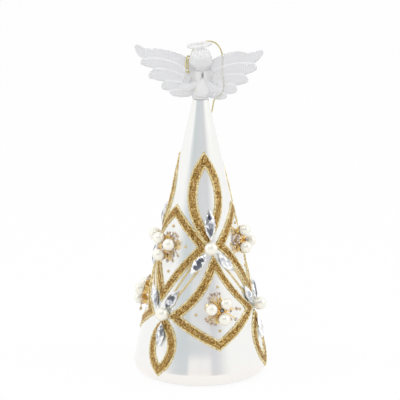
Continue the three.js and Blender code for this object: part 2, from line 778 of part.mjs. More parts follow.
// A sleeve: an arm from the shoulder to the elbow, and a horn from its dished mouth to the hand.
function sleeve(side, mouthDrop, torsoForm) {
  const handOut = handSide + side * (handRadius + seatGap / 2);
  const hand = new THREE.Vector3(handOut, -handReach, shoulderHeight - handDrop);
  const mouth = new THREE.Vector3(side * sleeveSpread, -sleeveSetBack, shoulderHeight - mouthDrop);
  const shoulderSide = side * (shoulderHalfWidth - armRadius / 2);
  const shoulder = new THREE.Vector3(shoulderSide, 0, shoulderHeight + armRadius / 2);
  const sag = new THREE.Vector3(0, -handRadius / 2, -handRadius);
  const bend = hand.clone().lerp(mouth, sleeveBendShare).add(sag);
  const wrist = hand.clone().lerp(bend, wristShare);
  const dish = mouth.clone().lerp(hand, sleeveDish / mouth.distanceTo(hand));
  const elbow = mouth.clone().lerp(hand, elbowShare).add(new THREE.Vector3(0, 0, armRadius / 2));
  const horn = [
    [hand, handRadius * fingertipShare],
    [wrist, handRadius],
    [bend, sleeveMouth * sleeveBendWidthShare],
    [mouth, sleeveMouth],
    [mouth, sleeveMouth - sleeveWall],
    [dish, sleeveWall],
  ];
  const upright = new THREE.Vector3(0, 0, 1);
  const armSpots = [shoulder, shoulder.clone().lerp(elbow, armBendShare), elbow];
  const armRadii = armWidthShares.map((share) => share * armRadius);
  const arm = swept(armSpots, armRadii, armRadii, 10, upright);
  const hornForm = sweptHorn(horn, hand.clone().sub(mouth).normalize(), upright);
  return toGeometry(joined([hornForm, arm]).subtract(torsoForm));
}

// The horn's rings all face along its axis, so that its mouth can turn back into a dish.
function sweptHorn(rings, axis, upright) {
  const wide = new THREE.Vector3().crossVectors(upright, axis).normalize();
  const thick = new THREE.Vector3().crossVectors(axis, wide);
  const sides = 12;
  return loft(rings.map(([spot, radius]) => Array.from({ length: sides }, (_, side) => {
    const angle = -(2 * Math.PI * side) / sides;
    return spot.clone()
      .addScaledVector(wide, radius * Math.cos(angle))
      .addScaledVector(thick, radius * Math.sin(angle));
  })));
}

// The half width of a feather at a share of its length, rounded off at the tip.
function featherHalf(halves, share) {
  const at = share * (halves.length - 1);
  const low = Math.min(Math.floor(at), halves.length - 2);
  const past = Math.max(0, (share - 1) / featherTipShare + 1);
  const close = Math.sqrt(1 - (1 - featherBluntShare ** 2) * past ** 2);
  return THREE.MathUtils.lerp(halves[low], halves[low + 1], at - low) * wingRise * close;
}

function feather(side, { spots, halves }) {
  const curve = new THREE.CatmullRomCurve3(spots.map(([out, up]) => new THREE.Vector3(
    side * out * wingSpan,
    wingSetBack + out * wingSweep,
    dressHeight + wingFootRise + up * wingRise,
  )));
  const steps = 6;
  const shares = Array.from({ length: steps + 1 }, (_, step) => step / steps);
  const points = shares.map((share) => curve.getPoint(share));
  const widths = shares.map((share) => featherHalf(halves, share));
  const depths = shares.map((share) => (wingThickness / 2) * Math.sqrt(1 - featherThinShare * share ** 2));
  return swept(points, widths, depths, 8, new THREE.Vector3(0, -1, 0));
}

// A wing is its feathers drawn from hot glass side by side and melted into one.
function wing(side, feathers, bodyForms) {
  const blades = joined(feathers.map((shares) => feather(side, shares)));
  return toGeometry(bodyForms.reduce((solid, form) => solid.subtract(form), blades));
}

// The halo leans back, and its front is pressed on to the crown of the head.
function halo(headForm) {
  const crown = collarHeight + seatGap + headHeight;
  const ring = new THREE.TorusGeometry(haloRadius, haloRod / 2, 6, 20)
    .rotateY(THREE.MathUtils.degToRad(-haloTilt))
    .translate(haloSide, haloSetBack, crown + haloRod / 2 - haloPress);
  return toGeometry(toSolid(ring).subtract(headForm));
}

function bust() {
  const torsoForm = toSolid(torso(seatGap));
  const headForm = toSolid(head(seatGap));
  add('torso', torso(0), frostedGlass);
  add('head', head(0), frostedGlass);
  add('left_sleeve', sleeve(-1, leftSleeveDrop, torsoForm), frostedGlass);
  add('right_sleeve', sleeve(1, rightSleeveDrop, torsoForm), frostedGlass);
  add('left_wing', wing(-1, leftFeatherShares, [torsoForm, headForm]), frostedGlass);
  add('right_wing', wing(1, rightFeatherShares, [torsoForm, headForm]), frostedGlass);
  add('halo', halo(headForm), frostedGlass);
}

// The free cord runs from its knot beside the neck up behind the halo, down behind the angel's
// wing and the dress, and back up to the knot.
function hangingCord() {
  const curve = new THREE.CatmullRomCurve3(cordRoute.map((point) => new THREE.Vector3(...point)));
  const sides = 8;
  const section = new THREE.Shape(Array.from({ length: sides }, (_, side) => {
    const angle = (2 * Math.PI * side) / sides;
    return new THREE.Vector2(Math.cos(angle), Math.sin(angle)).multiplyScalar(cordDiameter / 2);
  }));
  const steps = Math.round(curve.getLength() / cordStep);
  const cord = new THREE.ExtrudeGeometry(section, { steps, extrudePath: curve });
  add('hanging_cord', cord, goldTrim);
}

function cordKnot() {
  const knot = add('cord_knot', new THREE.SphereGeometry(knotDiameter / 2, 10, 6), goldTrim);
  knot.position.copy(knotPlace);
}

add('dress_shell', dressShell(), pearlLacquer);
bands();
nodes();
channels();
sprays();
bust();
hangingCord();
cordKnot();

export default angel;
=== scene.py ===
import math
import random

import bmesh
import bpy
from mathutils import Matrix, Vector
from mathutils.kdtree import KDTree


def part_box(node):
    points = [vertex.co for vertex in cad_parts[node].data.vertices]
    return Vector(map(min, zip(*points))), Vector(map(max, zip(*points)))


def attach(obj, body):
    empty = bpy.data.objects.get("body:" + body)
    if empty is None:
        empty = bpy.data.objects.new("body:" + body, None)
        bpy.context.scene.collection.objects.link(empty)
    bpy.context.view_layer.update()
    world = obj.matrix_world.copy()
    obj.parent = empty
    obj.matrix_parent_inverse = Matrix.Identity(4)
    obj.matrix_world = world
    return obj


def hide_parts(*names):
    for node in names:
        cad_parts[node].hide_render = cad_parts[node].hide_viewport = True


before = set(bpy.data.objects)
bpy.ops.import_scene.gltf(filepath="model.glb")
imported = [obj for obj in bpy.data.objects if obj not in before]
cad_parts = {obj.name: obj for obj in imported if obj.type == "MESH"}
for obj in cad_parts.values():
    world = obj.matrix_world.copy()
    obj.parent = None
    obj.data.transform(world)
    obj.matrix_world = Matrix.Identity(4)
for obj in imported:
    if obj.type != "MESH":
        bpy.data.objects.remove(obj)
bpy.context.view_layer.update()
bpy.ops.object.select_all(action="DESELECT")
mm = 0.001


# The camera stands straight in front of the angel, well back, and looks down on it a little. Its
# small shift puts the figure where the photograph has it.
camera_elevation = 14.3
camera_distance = 1515 * mm
camera_lens = 239
camera_shift = (-0.0015, 0.0405)
aim = Vector((0, 0, 90.9 * mm))


def new_object(name, data):
    """An object in the scene with this mesh, curve, camera or lamp."""
    made = bpy.data.objects.new(name, data)
    bpy.context.scene.collection.objects.link(made)
    return made


def look_from(piece, azimuth, elevation, distance):
    """Puts a camera or lamp round the figure, in degrees from the front, and aims it at the middle."""
    turn, rise = math.radians(azimuth), math.radians(elevation)
    way = Vector((math.sin(turn) * math.cos(rise), -math.cos(turn) * math.cos(rise), math.sin(rise)))
    piece.location = aim + way * distance
    piece.rotation_euler = way.to_track_quat("Z", "Y").to_euler()


camera = new_object("camera", bpy.data.cameras.new("camera"))
look_from(camera, 0, camera_elevation, camera_distance)
camera.data.lens = camera_lens
camera.data.shift_x, camera.data.shift_y = camera_shift
bpy.context.scene.camera = camera


# The hanging cord is thin metallised gold thread, three plies laid round each other. It is tied in
# a small overhand knot beside the angel's neck and hangs in a long loop behind wing and dress.
cord_width = 0.8 * mm
cord_pitch = 2.2 * mm
cord_step = 0.2 * mm
knot_width = 2.2 * mm
knot_thread = 0.76 * cord_width
knot_place = Vector((-7.3, -2.4, 175.2)) * mm
knot_steps = 90
cord_route = [
    (-6.9, -1.1, 176.2), (-7.1, 0.8, 178), (-6.9, 2.9, 180.6), (-5.8, 4.7, 183), (-4.8, 7, 184.9),
    (-4.1, 9.2, 185.8), (-2.6, 11, 187.6), (0.6, 11.4, 188.7), (4, 11.2, 190.2), (8.2, 10.8, 189.3),
    (11, 10.4, 186.2), (12.4, 10.2, 181.6), (12.3, 10.3, 176.5), (12.5, 10.6, 170.5), (13.2, 11, 164.6),
    (11.6, 11.2, 159.6), (8, 11.4, 156.7), (6.6, 12.2, 150.4), (5, 13.8, 143.6), (2.6, 15.8, 137),
    (-0.4, 17.4, 132.8), (-3, 17.6, 133.4), (-4, 16.4, 138), (-3.6, 14.4, 145), (-2.8, 12.6, 152.5),
    (-2.2, 11.4, 160), (-2.4, 10.8, 167), (-3.6, 10.6, 173.5), (-5.2, 10.2, 178.4), (-6.4, 8, 181.8),
    (-7.4, 5.2, 182.6), (-8.1, 2.7, 180.4), (-8.3, 0.8, 178), (-8.1, -0.8, 176.5),
]


class Wire:
    """One output of a material's nodes. Sums and products of wires add Math nodes."""

    def __init__(self, tree, socket=None):
        self.tree = tree
        self.socket = socket

    def node(self, kind, sockets=None, output=0, **settings):
        """A new node with these settings, whose sockets take values or wires."""
        made = self.tree.nodes.new("ShaderNode" + kind)
        for name, value in settings.items():
            if name == "stops":
                set_stops(made.color_ramp, value)
            else:
                setattr(made, name, value)
        for name, value in (sockets or {}).items():
            if isinstance(value, Wire):
                self.tree.links.new(value.socket, made.inputs[name])
            else:
                made.inputs[name].default_value = value
        return Wire(self.tree, made.outputs[output] if made.outputs else None)

    def math(self, operation, *values):
        return self.node("Math", dict(enumerate(values)), operation=operation)

    def __add__(self, other):
        return self.math("ADD", self, other)

    def __sub__(self, other):
        return self.math("SUBTRACT", self, other)

    def __rsub__(self, other):
        return self.math("SUBTRACT", other, self)

    def __mul__(self, other):
        return self.math("MULTIPLY", self, other)

    __radd__ = __add__
    __rmul__ = __mul__


def set_stops(ramp, stops):
    """Gives a colour ramp its stops, as pairs of a place and a colour."""
    while len(ramp.elements) < len(stops):
        ramp.elements.new(1)
    for element, (place, colour) in zip(ramp.elements, stops):
        element.position = place
        element.color = (*colour, 1)


def new_material(name):
    """An empty material and a wire to start its nodes from."""
    material = bpy.data.materials.new(name)
    material.use_nodes = True
    material.node_tree.nodes.clear()
    return material, Wire(material.node_tree)


def grain(start, size, detail=2):
    """Noise from 0 to 1 on the piece's own coordinates, with grains of about a size."""
    spot = start.node("TexCoord", output="Object")
    return start.node("TexNoise", {"Vector": spot, "Scale": 1 / size, "Detail": detail})


def mixed(start, share, first, second):
    """A colour between two, by a share."""
    sockets = {0: share}
    for socket, colour in ((6, first), (7, second)):
        sockets[socket] = colour if isinstance(colour, Wire) else (*colour, 1)
    return start.node("Mix", sockets, 2, data_type="RGBA")


def principled(start, sockets):
    """Ends a material with one Principled shader."""
    shader = start.node("BsdfPrincipled", sockets)
    start.node("OutputMaterial", {"Surface": shader})


def mottled(name, size, dark, light, metallic, smooth, rough=0, coat=0, detail=2):
    """A material whose colour, and roughness where it varies, goes from grain to grain."""
    material, start = new_material(name)
    speck = grain(start, size, detail)
    principled(start, {
        "Base Color": mixed(start, speck, dark, light),
        "Metallic": metallic,
        "Roughness": smooth + rough * speck if rough else smooth,
        "Coat Weight": coat,
    })
    return material


def select_only(*pieces):
    bpy.ops.object.select_all(action="DESELECT")
    for piece in pieces:
        piece.select_set(True)
    bpy.context.view_layer.objects.active = pieces[0]


def face_outward(seam=0):
    """Closes the active piece's seams, if it has any, and turns its faces outward."""
    bpy.ops.object.mode_set(mode="EDIT")
    bpy.ops.mesh.select_all(action="SELECT")
    if seam:
        bpy.ops.mesh.remove_doubles(threshold=seam)
    bpy.ops.mesh.normals_make_consistent(inside=False)
    bpy.ops.object.mode_set(mode="OBJECT")


def loft(name, spots, sides, closed=False):
    """A piece through rings of as many spots each, with end caps unless the row of rings is closed."""
    rings = len(spots) // sides
    faces = []
    for ring in range(rings if closed else rings - 1):
        after = (ring + 1) % rings
        for side in range(sides):
            beside = (side + 1) % sides
            corners = ((ring, side), (ring, beside), (after, beside), (after, side))
            faces.append([row * sides + column for row, column in corners])
    if not closed:
        faces += [list(range(sides))[::-1], list(range((rings - 1) * sides, rings * sides))]
    mesh = bpy.data.meshes.new(name)
    mesh.from_pydata(spots, [], faces)
    piece = new_object(name, mesh)
    select_only(piece)
    face_outward()
    return piece


def smooth_line(points, step, values=None):
    """A smooth line through points, as spots about a step apart, or other values that run along it."""
    values = values or points
    padded = [2 * values[0] - values[1], *values, 2 * values[-1] - values[-2]]
    line = []
    for number, (before, start, end, after) in enumerate(zip(padded, padded[1:], padded[2:], padded[3:])):
        count = max(1, round((points[number + 1] - points[number]).length / step))
        for index in range(count):
            t = index / count
            line.append(0.5 * (
                2 * start + (end - before) * t + (2 * before - 5 * start + 4 * end - after) * t**2
                + (3 * start - before - 3 * end + after) * t**3
            ))
    return [*line, values[-1]]


def twisted_thread(name, line, radius, closed=False):
    """A three-lobed section that turns as it follows the line."""
    lobes = (1, 0.94, 0.8, 0.94)
    sides = 3 * len(lobes)
    normal = (line[1] - line[0]).orthogonal().normalized()
    spots, run = [], 0
    for index, spot in enumerate(line):
        after = line[(index + 1) % len(line)] if closed else line[min(index + 1, len(line) - 1)]
        before = line[index - 1] if closed or index else line[0]
        ahead = (after - before).normalized()
        normal = (normal - ahead * normal.dot(ahead)).normalized()
        across = ahead.cross(normal)
        run += (spot - line[index - 1]).length if index else 0
        for side in range(sides):
            angle = 2 * math.pi * (side / sides + run / cord_pitch)
            reach = radius * lobes[side % len(lobes)]
            spots.append(spot + reach * (normal * math.cos(angle) + across * math.sin(angle)))
    piece = loft(name, spots, sides, closed)
    bpy.ops.object.shade_smooth_by_angle(angle=math.radians(50))
    return piece


def trefoil(share):
    """A spot of a three-crossing knot that is one wide."""
    angle = 2 * math.pi * share
    return Vector((
        math.sin(angle) + 2 * math.sin(2 * angle),
        math.cos(angle) - 2 * math.cos(2 * angle),
        -math.sin(3 * angle),
    )) / 6


def hand_over(piece, material, slot, *nodes):
    """Gives a finished piece its material, and puts it in the place of its CAD nodes; the slot is not used.
    """
    piece.data.materials.clear()
    piece.data.materials.append(material)
    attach(piece, "root")
    if nodes:
        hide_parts(*nodes)


thread = mottled("gold_thread", 0.25 * mm, (0.42, 0.33, 0.07), (0.9, 0.8, 0.36), 0.75, 0.2, rough=0.3)
cord_line = smooth_line([Vector(point) * mm for point in cord_route], cord_step)
cord_length = sum((after - before).length for before, after in zip(cord_line, cord_line[1:]))
cord = twisted_thread("hanging_thread", cord_line, cord_width / 2)
hand_over(cord, thread, "gold_thread", "hanging_cord")
knot_reach = knot_width - 0.7 * cord_width
knot_line = [knot_place + knot_reach * trefoil(step / knot_steps) for step in range(knot_steps)]
knot = twisted_thread("thread_knot", knot_line, knot_thread / 2, closed=True)
hand_over(knot, thread, "gold_thread", "cord_knot")


# The dress is a blown glass cone with a rounded foot, silvered and pearl-lacquered, about 1.2 mm
# thick. Hand blowing leaves it a little wavy, and the brushed lacquer shows faint upright streaks.
dress_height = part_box("dress_shell")[1].z
dress_spread = 40 * mm
neck_radius = 4.55 * mm
foot_corner = 6.6 * mm
glass_wall = 1.2 * mm
wave_depth = 0.05 * mm
wave_fade = 10 * mm
belly_depth = 0.22 * mm
belly_height = 20 * mm
cone_slope = (dress_spread - neck_radius) / dress_height
cone_angle = math.atan(cone_slope)
apex_height = dress_spread / cone_slope
corner_axis = dress_spread - cone_slope * foot_corner - foot_corner / math.cos(cone_angle)
corner_top = foot_corner * (1 + math.sin(cone_angle))


def pick(piece, kind, test):
    """Enters edit mode and selects the edges or faces whose middle passes a test."""
    bpy.ops.object.mode_set(mode="EDIT")
    bpy.ops.mesh.select_mode(type=kind)
    bpy.ops.mesh.select_all(action="DESELECT")
    mesh = bmesh.from_edit_mesh(piece.data)
    for part in mesh.edges if kind == "EDGE" else mesh.faces:
        part.select_set(test(sum((corner.co for corner in part.verts), Vector()) / len(part.verts)))
    bmesh.update_edit_mesh(piece.data)


def apply_modifier(piece, kind, **settings):
    """Adds a modifier to a piece and applies it."""
    modifier = piece.modifiers.new(kind.lower(), kind)
    for name, value in settings.items():
        setattr(modifier, name, value)
    select_only(piece)
    bpy.ops.object.modifier_apply(modifier=modifier.name)


def added(name):
    """The object that an operator has just added, named, with its place and turn applied."""
    piece = bpy.context.object
    piece.name = name
    bpy.ops.object.transform_apply()
    return piece


def within(value):
    return min(1, max(0, value))


def blown_dress():
    """A cone with its foot bevelled round and its top open, bisected into rings that are then shaped."""
    ring_gap = 3 * mm
    bpy.ops.mesh.primitive_cone_add(
        vertices=192, radius1=dress_spread, radius2=neck_radius, depth=dress_height,
        location=(0, 0, dress_height / 2),
    )
    dress = added("blown_dress")
    pick(dress, "EDGE", lambda middle: middle.z < mm and middle.xy.length > dress_spread - mm)
    foot_angle = math.pi / 2 - cone_angle
    bpy.ops.mesh.bevel(offset=foot_corner / math.tan(foot_angle / 2), segments=16, profile=0.5)
    pick(dress, "FACE", lambda middle: middle.z > dress_height - mm and middle.xy.length < mm)
    bpy.ops.mesh.delete(type="FACE")
    for ring in range(int((dress_height - corner_top) / ring_gap)):
        height = corner_top + (ring + 0.5) * ring_gap
        bpy.ops.mesh.select_all(action="SELECT")
        bpy.ops.mesh.bisect(plane_co=(0, 0, height), plane_no=(0, 0, 1))
    bpy.ops.object.mode_set(mode="OBJECT")
    for corner in dress.data.vertices:
        spot = corner.co
        turn = math.atan2(spot.x, -spot.y)
        fade = within((spot.z - corner_top) / wave_fade) * within((dress_height - spot.z) / wave_fade)
        wave = math.sin(3 * turn + spot.z / (19 * mm)) + math.sin(5 * turn - spot.z / (11 * mm))
        belly = math.sin(math.pi * within((spot.z - corner_top) / belly_height))**2
        swell = belly_depth * belly - fade * wave_depth * (1 + wave / 2)
        spot.xy *= 1 + swell / spot.xy.length if spot.xy.length > mm else 1
    apply_modifier(dress, "SOLIDIFY", thickness=glass_wall, offset=-1)
    bpy.ops.object.shade_smooth_by_angle(angle=math.radians(40))
    return dress


def place_along(start, axis, space="Object"):
    """How far a spot lies along an axis, in the piece's own coordinates or another space."""
    return start.node("SeparateXYZ", {"Vector": start.node("TexCoord", output=space)}, axis)


def faded(start, value, first, last, how="LINEAR"):
    """0 until a value reaches the first number and 1 past the last."""
    return start.node("MapRange", {0: value, 1: first, 2: last}, interpolation_type=how)


def bump(start, height, strength, depth):
    return start.node("Bump", {"Height": height, "Strength": strength, "Distance": depth})


def pearl_lacquer():
    """White over silver in upright streaks; a painted floor reflection warms the foot, a painted contact
    shadow darkens its edge.
    """
    material, start = new_material("pearl_lacquer")
    streak_scale, upright_share = 420, 0.07
    spot = start.node("TexCoord", output="Object")
    upright = start.node("Mapping", {"Vector": spot, "Scale": (1, 1, upright_share)})
    streak = start.node("TexNoise", {"Vector": upright, "Scale": streak_scale, "Detail": 3})
    cloud = grain(start, 14 * mm)
    # Painted reflection: warmer towards the foot, standing in for the floor the lacquer would mirror.
    foot = faded(start, place_along(start, "Z"), 14 * mm, 5 * mm)
    # Painted contact shadow: a grey line along the edge the dress stands on.
    edge = faded(start, place_along(start, "Z"), 1.3 * mm, 0.3 * mm)
    pearl = mixed(start, cloud, (0.88, 0.885, 0.855), (0.93, 0.93, 0.905))
    pearl = mixed(start, streak, pearl, (0.9, 0.905, 0.9))
    pearl = mixed(start, foot, pearl, (0.94, 0.905, 0.87))
    principled(start, {
        "Base Color": mixed(start, edge, pearl, (0.42, 0.42, 0.48)),
        "Metallic": 0.75,
        "Roughness": 0.1 + 0.12 * streak,
        "Coat Weight": 0.6,
        "Coat Roughness": 0.03,
        "Normal": bump(start, streak + 0.5 * cloud, strength=0.12, depth=0.2 * mm),
    })
    return material


hand_over(blown_dress(), pearl_lacquer(), "pearl_lacquered_glass", "dress_shell")


# The bands are gold glitter brushed on in glue, between two lines of glitter glue that were piped
# on first. Every motif was laid by hand, so each has its own place round the dress.
band_width = 5.4 * mm
liner_height = 0.75 * mm
field_height = 0.48 * mm
grain_size = 0.42 * mm
grain_shift = 0.05 * mm
grain_rise = 0.1 * mm
inner_mitre_share = 0.33
outer_mitre_share = 0.66
upper_node_height = 77.7 * mm
lower_node_height = 41 * mm
upper_leaf_foot = upper_node_height + 5.7 * mm
upper_leaf_tops = [upper_leaf_foot + reach * mm for reach in (43.6, 41.2, 40.6)]
upper_leaf_half_turn = 26.5
upper_leaf_widths = (0.96, 1.1)
upper_diamond_top = upper_node_height + 19.7 * mm
upper_diamond_side = upper_node_height + 1.4 * mm
upper_diamond_foot = lower_node_height + 8.3 * mm
upper_diamond_half_turn = 46.5
upper_diamond_hollows = (0, 0.8 * mm, 0.8 * mm, 0)
upper_diamond_widths = (1.02, 0.93, 0.93, 1.02)
upper_diamond_right = (upper_diamond_side, upper_diamond_half_turn)
upper_diamond_left = (upper_diamond_side, -upper_diamond_half_turn)
upper_diamond_corner_places = (
    ((upper_diamond_side - 0.8 * mm, 51.5), upper_diamond_left),
    (upper_diamond_right, upper_diamond_left),
    (upper_diamond_right, upper_diamond_left),
)
lower_diamond_top = upper_node_height - 7 * mm
lower_diamond_side = lower_node_height - 0.4 * mm
lower_diamond_foot = lower_node_height - 17.2 * mm
lower_diamond_half_turn = 43.5
lower_diamond_hollows = (3.2 * mm, -0.8 * mm, -0.8 * mm, 4 * mm)
lower_diamond_widths = (0.79, 1.05, 1.05, 1.02)
lower_diamond_left = (lower_diamond_side, -lower_diamond_half_turn)
lower_diamond_corner_places = (
    ((lower_diamond_side, 46), (lower_diamond_side - 1.3 * mm, -46)),
    ((lower_diamond_side, lower_diamond_half_turn), lower_diamond_left),
    ((lower_diamond_side - 2 * mm, lower_diamond_half_turn), lower_diamond_left),
)
lower_leaf_top = lower_node_height - 6.4 * mm
lower_leaf_foot = lower_leaf_top - 26 * mm
lower_leaf_half_turn = 11.1
lower_leaf_widths = (1.08, 1.03)
lower_leaf_fullness = 0.8
upper_leaf_turns = (10.2, 134.5, 259)
upper_node_turns = (12.5, 134.5, 254)
upper_diamond_turns = (-48, 75.5, 194)
lower_diamond_turns = (17.5, 135.5, 254)
lower_node_turns = (-41, 75, 194.5)
lower_leaf_turns = (-38.9, 74.5, 194.5)


def slant_at(height):
    """The distance down the cone's side from its apex to a height."""
    return (apex_height - height) / math.cos(cone_angle)


def on_dress(flat, lift, column_turn):
    """A spot of the flat pattern, with the apex at zero and the dress below it, rolled on the cone."""
    slant = flat.length
    past = max(0, slant - slant_at(corner_top)) / foot_corner
    tilt = cone_angle - past
    if past > 0:
        radius = corner_axis + foot_corner * math.cos(tilt)
        height = foot_corner * (1 + math.sin(tilt))
    else:
        radius = slant * math.sin(cone_angle)
        height = apex_height - slant * math.cos(cone_angle)
    turn = math.radians(column_turn) + math.atan2(flat.x, -flat.y) / math.sin(cone_angle)
    radius += math.cos(tilt) * lift
    return Vector((radius * math.sin(turn), -radius * math.cos(turn), height + math.sin(tilt) * lift))


def flat_spot(height, turn):
    """A spot of the flat pattern by its height on the dress and its turn from the column."""
    angle = math.radians(turn) * math.sin(cone_angle)
    return slant_at(height) * Vector((math.sin(angle), -math.cos(angle)))


def leaf_sides(top, foot, half_turn, fullness=1):
    """The two sides of a pointed oval, each from corner to corner."""
    steps = 9
    half_width = flat_spot((top + foot) / 2, half_turn).x
    right = []
    for step in range(steps + 1):
        share = step / steps
        slant = slant_at(top) + (slant_at(foot) - slant_at(top)) * share
        right.append(Vector((half_width * (4 * share * (1 - share)) ** fullness, -slant)))
    return [right, [Vector((-spot.x, spot.y)) for spot in reversed(right)]]


def diamond_sides(top, foot, places, hollows):
    """The four sides of a kite, straight or hollow by their own depth."""
    steps = 6
    right, left = places
    corners = [flat_spot(top, 0), flat_spot(*right), flat_spot(foot, 0), flat_spot(*left)]
    sides = []
    for index, hollow in enumerate(hollows):
        reach = corners[(index + 1) % 4] - corners[index]
        inward = Vector((reach.y, -reach.x)).normalized()
        shares = [step / steps for step in range(steps + 1)]
        sides.append([
            corners[index] + reach * share + inward * 4 * hollow * share * (1 - share) for share in shares
        ])
    return sides


def mitred_rows(sides, widths):
    """The band's rows: a spot of its centre line, the way across it and how blunt its outer half is."""
    stations = [
        (spot, number, step) for number, side in enumerate(sides) for step, spot in enumerate(side[:-1])
    ]
    ways = []
    for index, (spot, number, step) in enumerate(stations):
        before = (spot - stations[index - 1][0]).normalized()
        after = (stations[(index + 1) % len(stations)][0] - spot).normalized()
        mean = (before + after).normalized()
        width = widths[number] if step else max(widths[number], widths[number - 1])
        inner = max(before.dot(mean), inner_mitre_share)
        outer = max(before.dot(mean), outer_mitre_share)
        ways.append(Vector((-mean.y * width / inner, mean.x * width / inner, inner / outer)))
    rows, first = [], 0
    for side in sides:
        length = (side[1] - side[0]).length
        step = length / max(1, round(length / grain_size))
        along = [ways[index % len(ways)] for index in range(first, first + len(side))]
        rows += zip(smooth_line(side, step)[:-1], smooth_line(side, step, along))
        first += len(side) - 1
    return [(spot, way.xy, way.z) for spot, way in rows]


def band_section():
    """Across the band, from edge to edge: two piped lines with the rough glitter field between."""
    half = band_width / 2
    sunk = -0.15 * mm
    liner = [(1, 0.1), (0.965, 0.5), (0.89, 0.9), (0.8, 1), (0.71, 0.85), (0.65, 0.66)]
    right = [(half * share, liner_height * rise) for share, rise in liner]
    field_shares = (-0.54, -0.4, -0.27, -0.13, 0, 0.13, 0.27, 0.4, 0.54)
    field = [(half * share, field_height) for share in field_shares]
    left = [(-across, height) for across, height in right]
    return [(-half, sunk), *left, *field, *reversed(right), (half, sunk)]


def glitter_band(name, sides, widths, column_turn, seed):
    """A ribbon of many small facets, as rough as coarse glitter, rolled on the dress."""
    dice = random.Random(seed)
    rows = mitred_rows(sides, widths)
    section = band_section()
    bpy.ops.mesh.primitive_grid_add(x_subdivisions=len(rows), y_subdivisions=len(section), size=1)
    band = added(name)
    spots = {}
    for row, (centre, way, blunt) in enumerate(rows):
        for column, (across, height) in enumerate(section):
            inside = 0 < column < len(section) - 1
            aside = dice.uniform(-grain_shift, grain_shift) if inside else 0
            rise = dice.uniform(-grain_rise, grain_rise) if inside else 0
            reach = (across + aside) * (blunt if across > 0 else 1)
            spots[row, column] = on_dress(centre + way * reach, height + rise, column_turn)
    for corner in band.data.vertices:
        row = round((corner.co.x + 0.5) * len(rows)) % len(rows)
        column = round((corner.co.y + 0.5) * len(section)) % len(section)
        corner.co = spots[row, column]
    face_outward(seam=mm / 1000)
    return band


def tilted_flakes(start, size, tilt):
    """Glitter's own look: small cells, each with a shade of its own, and a normal tilted by it."""
    spot = start.node("TexCoord", output="Object")
    flake = start.node("TexVoronoi", {"Vector": spot, "Scale": 1 / size}, "Color")
    centred = start.node("VectorMath", {0: flake, 1: (0.5, 0.5, 0.5)}, operation="SUBTRACT")
    leaned = start.node("VectorMath", {0: centred, "Scale": tilt}, operation="SCALE")
    normal = start.node("NewGeometry", output="Normal")
    sum_of = start.node("VectorMath", {0: normal, 1: leaned}, operation="ADD")
    normal = start.node("VectorMath", {0: sum_of}, operation="NORMALIZE")
    return start.node("SeparateColor", {"Color": flake}, "Red"), normal


def gold_glitter():
    """Dark and light flakes, lighter on the two liners, which the band's own UV map finds."""
    section_steps, middle_step, field_half = 23, 11, 4.6
    material, start = new_material("gold_glitter")
    shade, normal = tilted_flakes(start, size=0.4 * mm, tilt=1.2)
    across = start.node("SeparateXYZ", {"Vector": start.node("TexCoord", output="UV")}, "Y")
    edge = start.math("ABSOLUTE", across - middle_step / section_steps)
    liner = start.math("GREATER_THAN", edge, field_half / section_steps)
    field = start.node("ValToRGB", {"Fac": shade}, stops=[
        (0, (0.09, 0.04, 0.005)), (0.35, (0.28, 0.138, 0.02)),
        (0.7, (0.64, 0.365, 0.08)), (1, (1, 0.84, 0.46)),
    ])
    light = start.node("ValToRGB", {"Fac": shade}, stops=[
        (0, (0.34, 0.2, 0.04)), (0.3, (0.78, 0.57, 0.2)), (0.6, (1, 0.88, 0.5)), (1, (1, 0.97, 0.78)),
    ])
    principled(start, {
        "Base Color": mixed(start, liner, field, light),
        "Metallic": 0.7,
        "Roughness": 0.38,
        "Normal": normal,
    })
    return material


upper_leaves = [leaf_sides(top, upper_leaf_foot, upper_leaf_half_turn) for top in upper_leaf_tops]
upper_diamonds = [
    diamond_sides(upper_diamond_top, upper_diamond_foot, places, upper_diamond_hollows)
    for places in upper_diamond_corner_places
]
lower_diamonds = [
    diamond_sides(lower_diamond_top, lower_diamond_foot, places, lower_diamond_hollows)
    for places in lower_diamond_corner_places
]
lower_leaves = [leaf_sides(lower_leaf_top, lower_leaf_foot, lower_leaf_half_turn, lower_leaf_fullness)] * 3
glitter = gold_glitter()
for motif, outlines, widths, turns in (
    ("upper_leaf_band", upper_leaves, upper_leaf_widths, upper_leaf_turns),
    ("upper_diamond_band", upper_diamonds, upper_diamond_widths, upper_diamond_turns),
    ("lower_diamond_band", lower_diamonds, lower_diamond_widths, lower_diamond_turns),
    ("lower_leaf_band", lower_leaves, lower_leaf_widths, lower_leaf_turns),
):
    for index, (sides, turn) in enumerate(zip(outlines, turns)):
        node = f"{motif}_{index + 1}"
        band = glitter_band(f"{node}_glitter", sides, widths, turn, seed=10 * index + len(motif))
        hand_over(band, glitter, "gold_glitter", node)


# Each node of the pattern has a pearl, 7.6 mm, glued on where the bands meet: a nacre-coated bead
# with a flat at its back and a little fillet of clear glue round that.
pearl_width = 7.6 * mm
pearl_lift = 0.55 * mm
upward = Vector((0, 1))


def seat_on_dress(flat, direction, lift, column_turn):
    """A frame on the dress whose x runs along a way of the flat pattern and whose z points out."""
    reach = 0.3 * mm
    place = on_dress(flat, lift, column_turn)
    out = (on_dress(flat, lift + reach, column_turn) - place).normalized()
    ahead = on_dress(flat + direction * reach, lift, column_turn) - place
    across = out.cross(ahead).normalized()
    along = across.cross(out)
    return Matrix.Translation(place) @ Matrix((along, across, out)).transposed().to_4x4()


def placed_copy(model, name, seat):
    """A copy of a model with its own mesh, put in its place."""
    copy = new_object(name, model.data.copy())
    copy.data.transform(seat)
    return copy


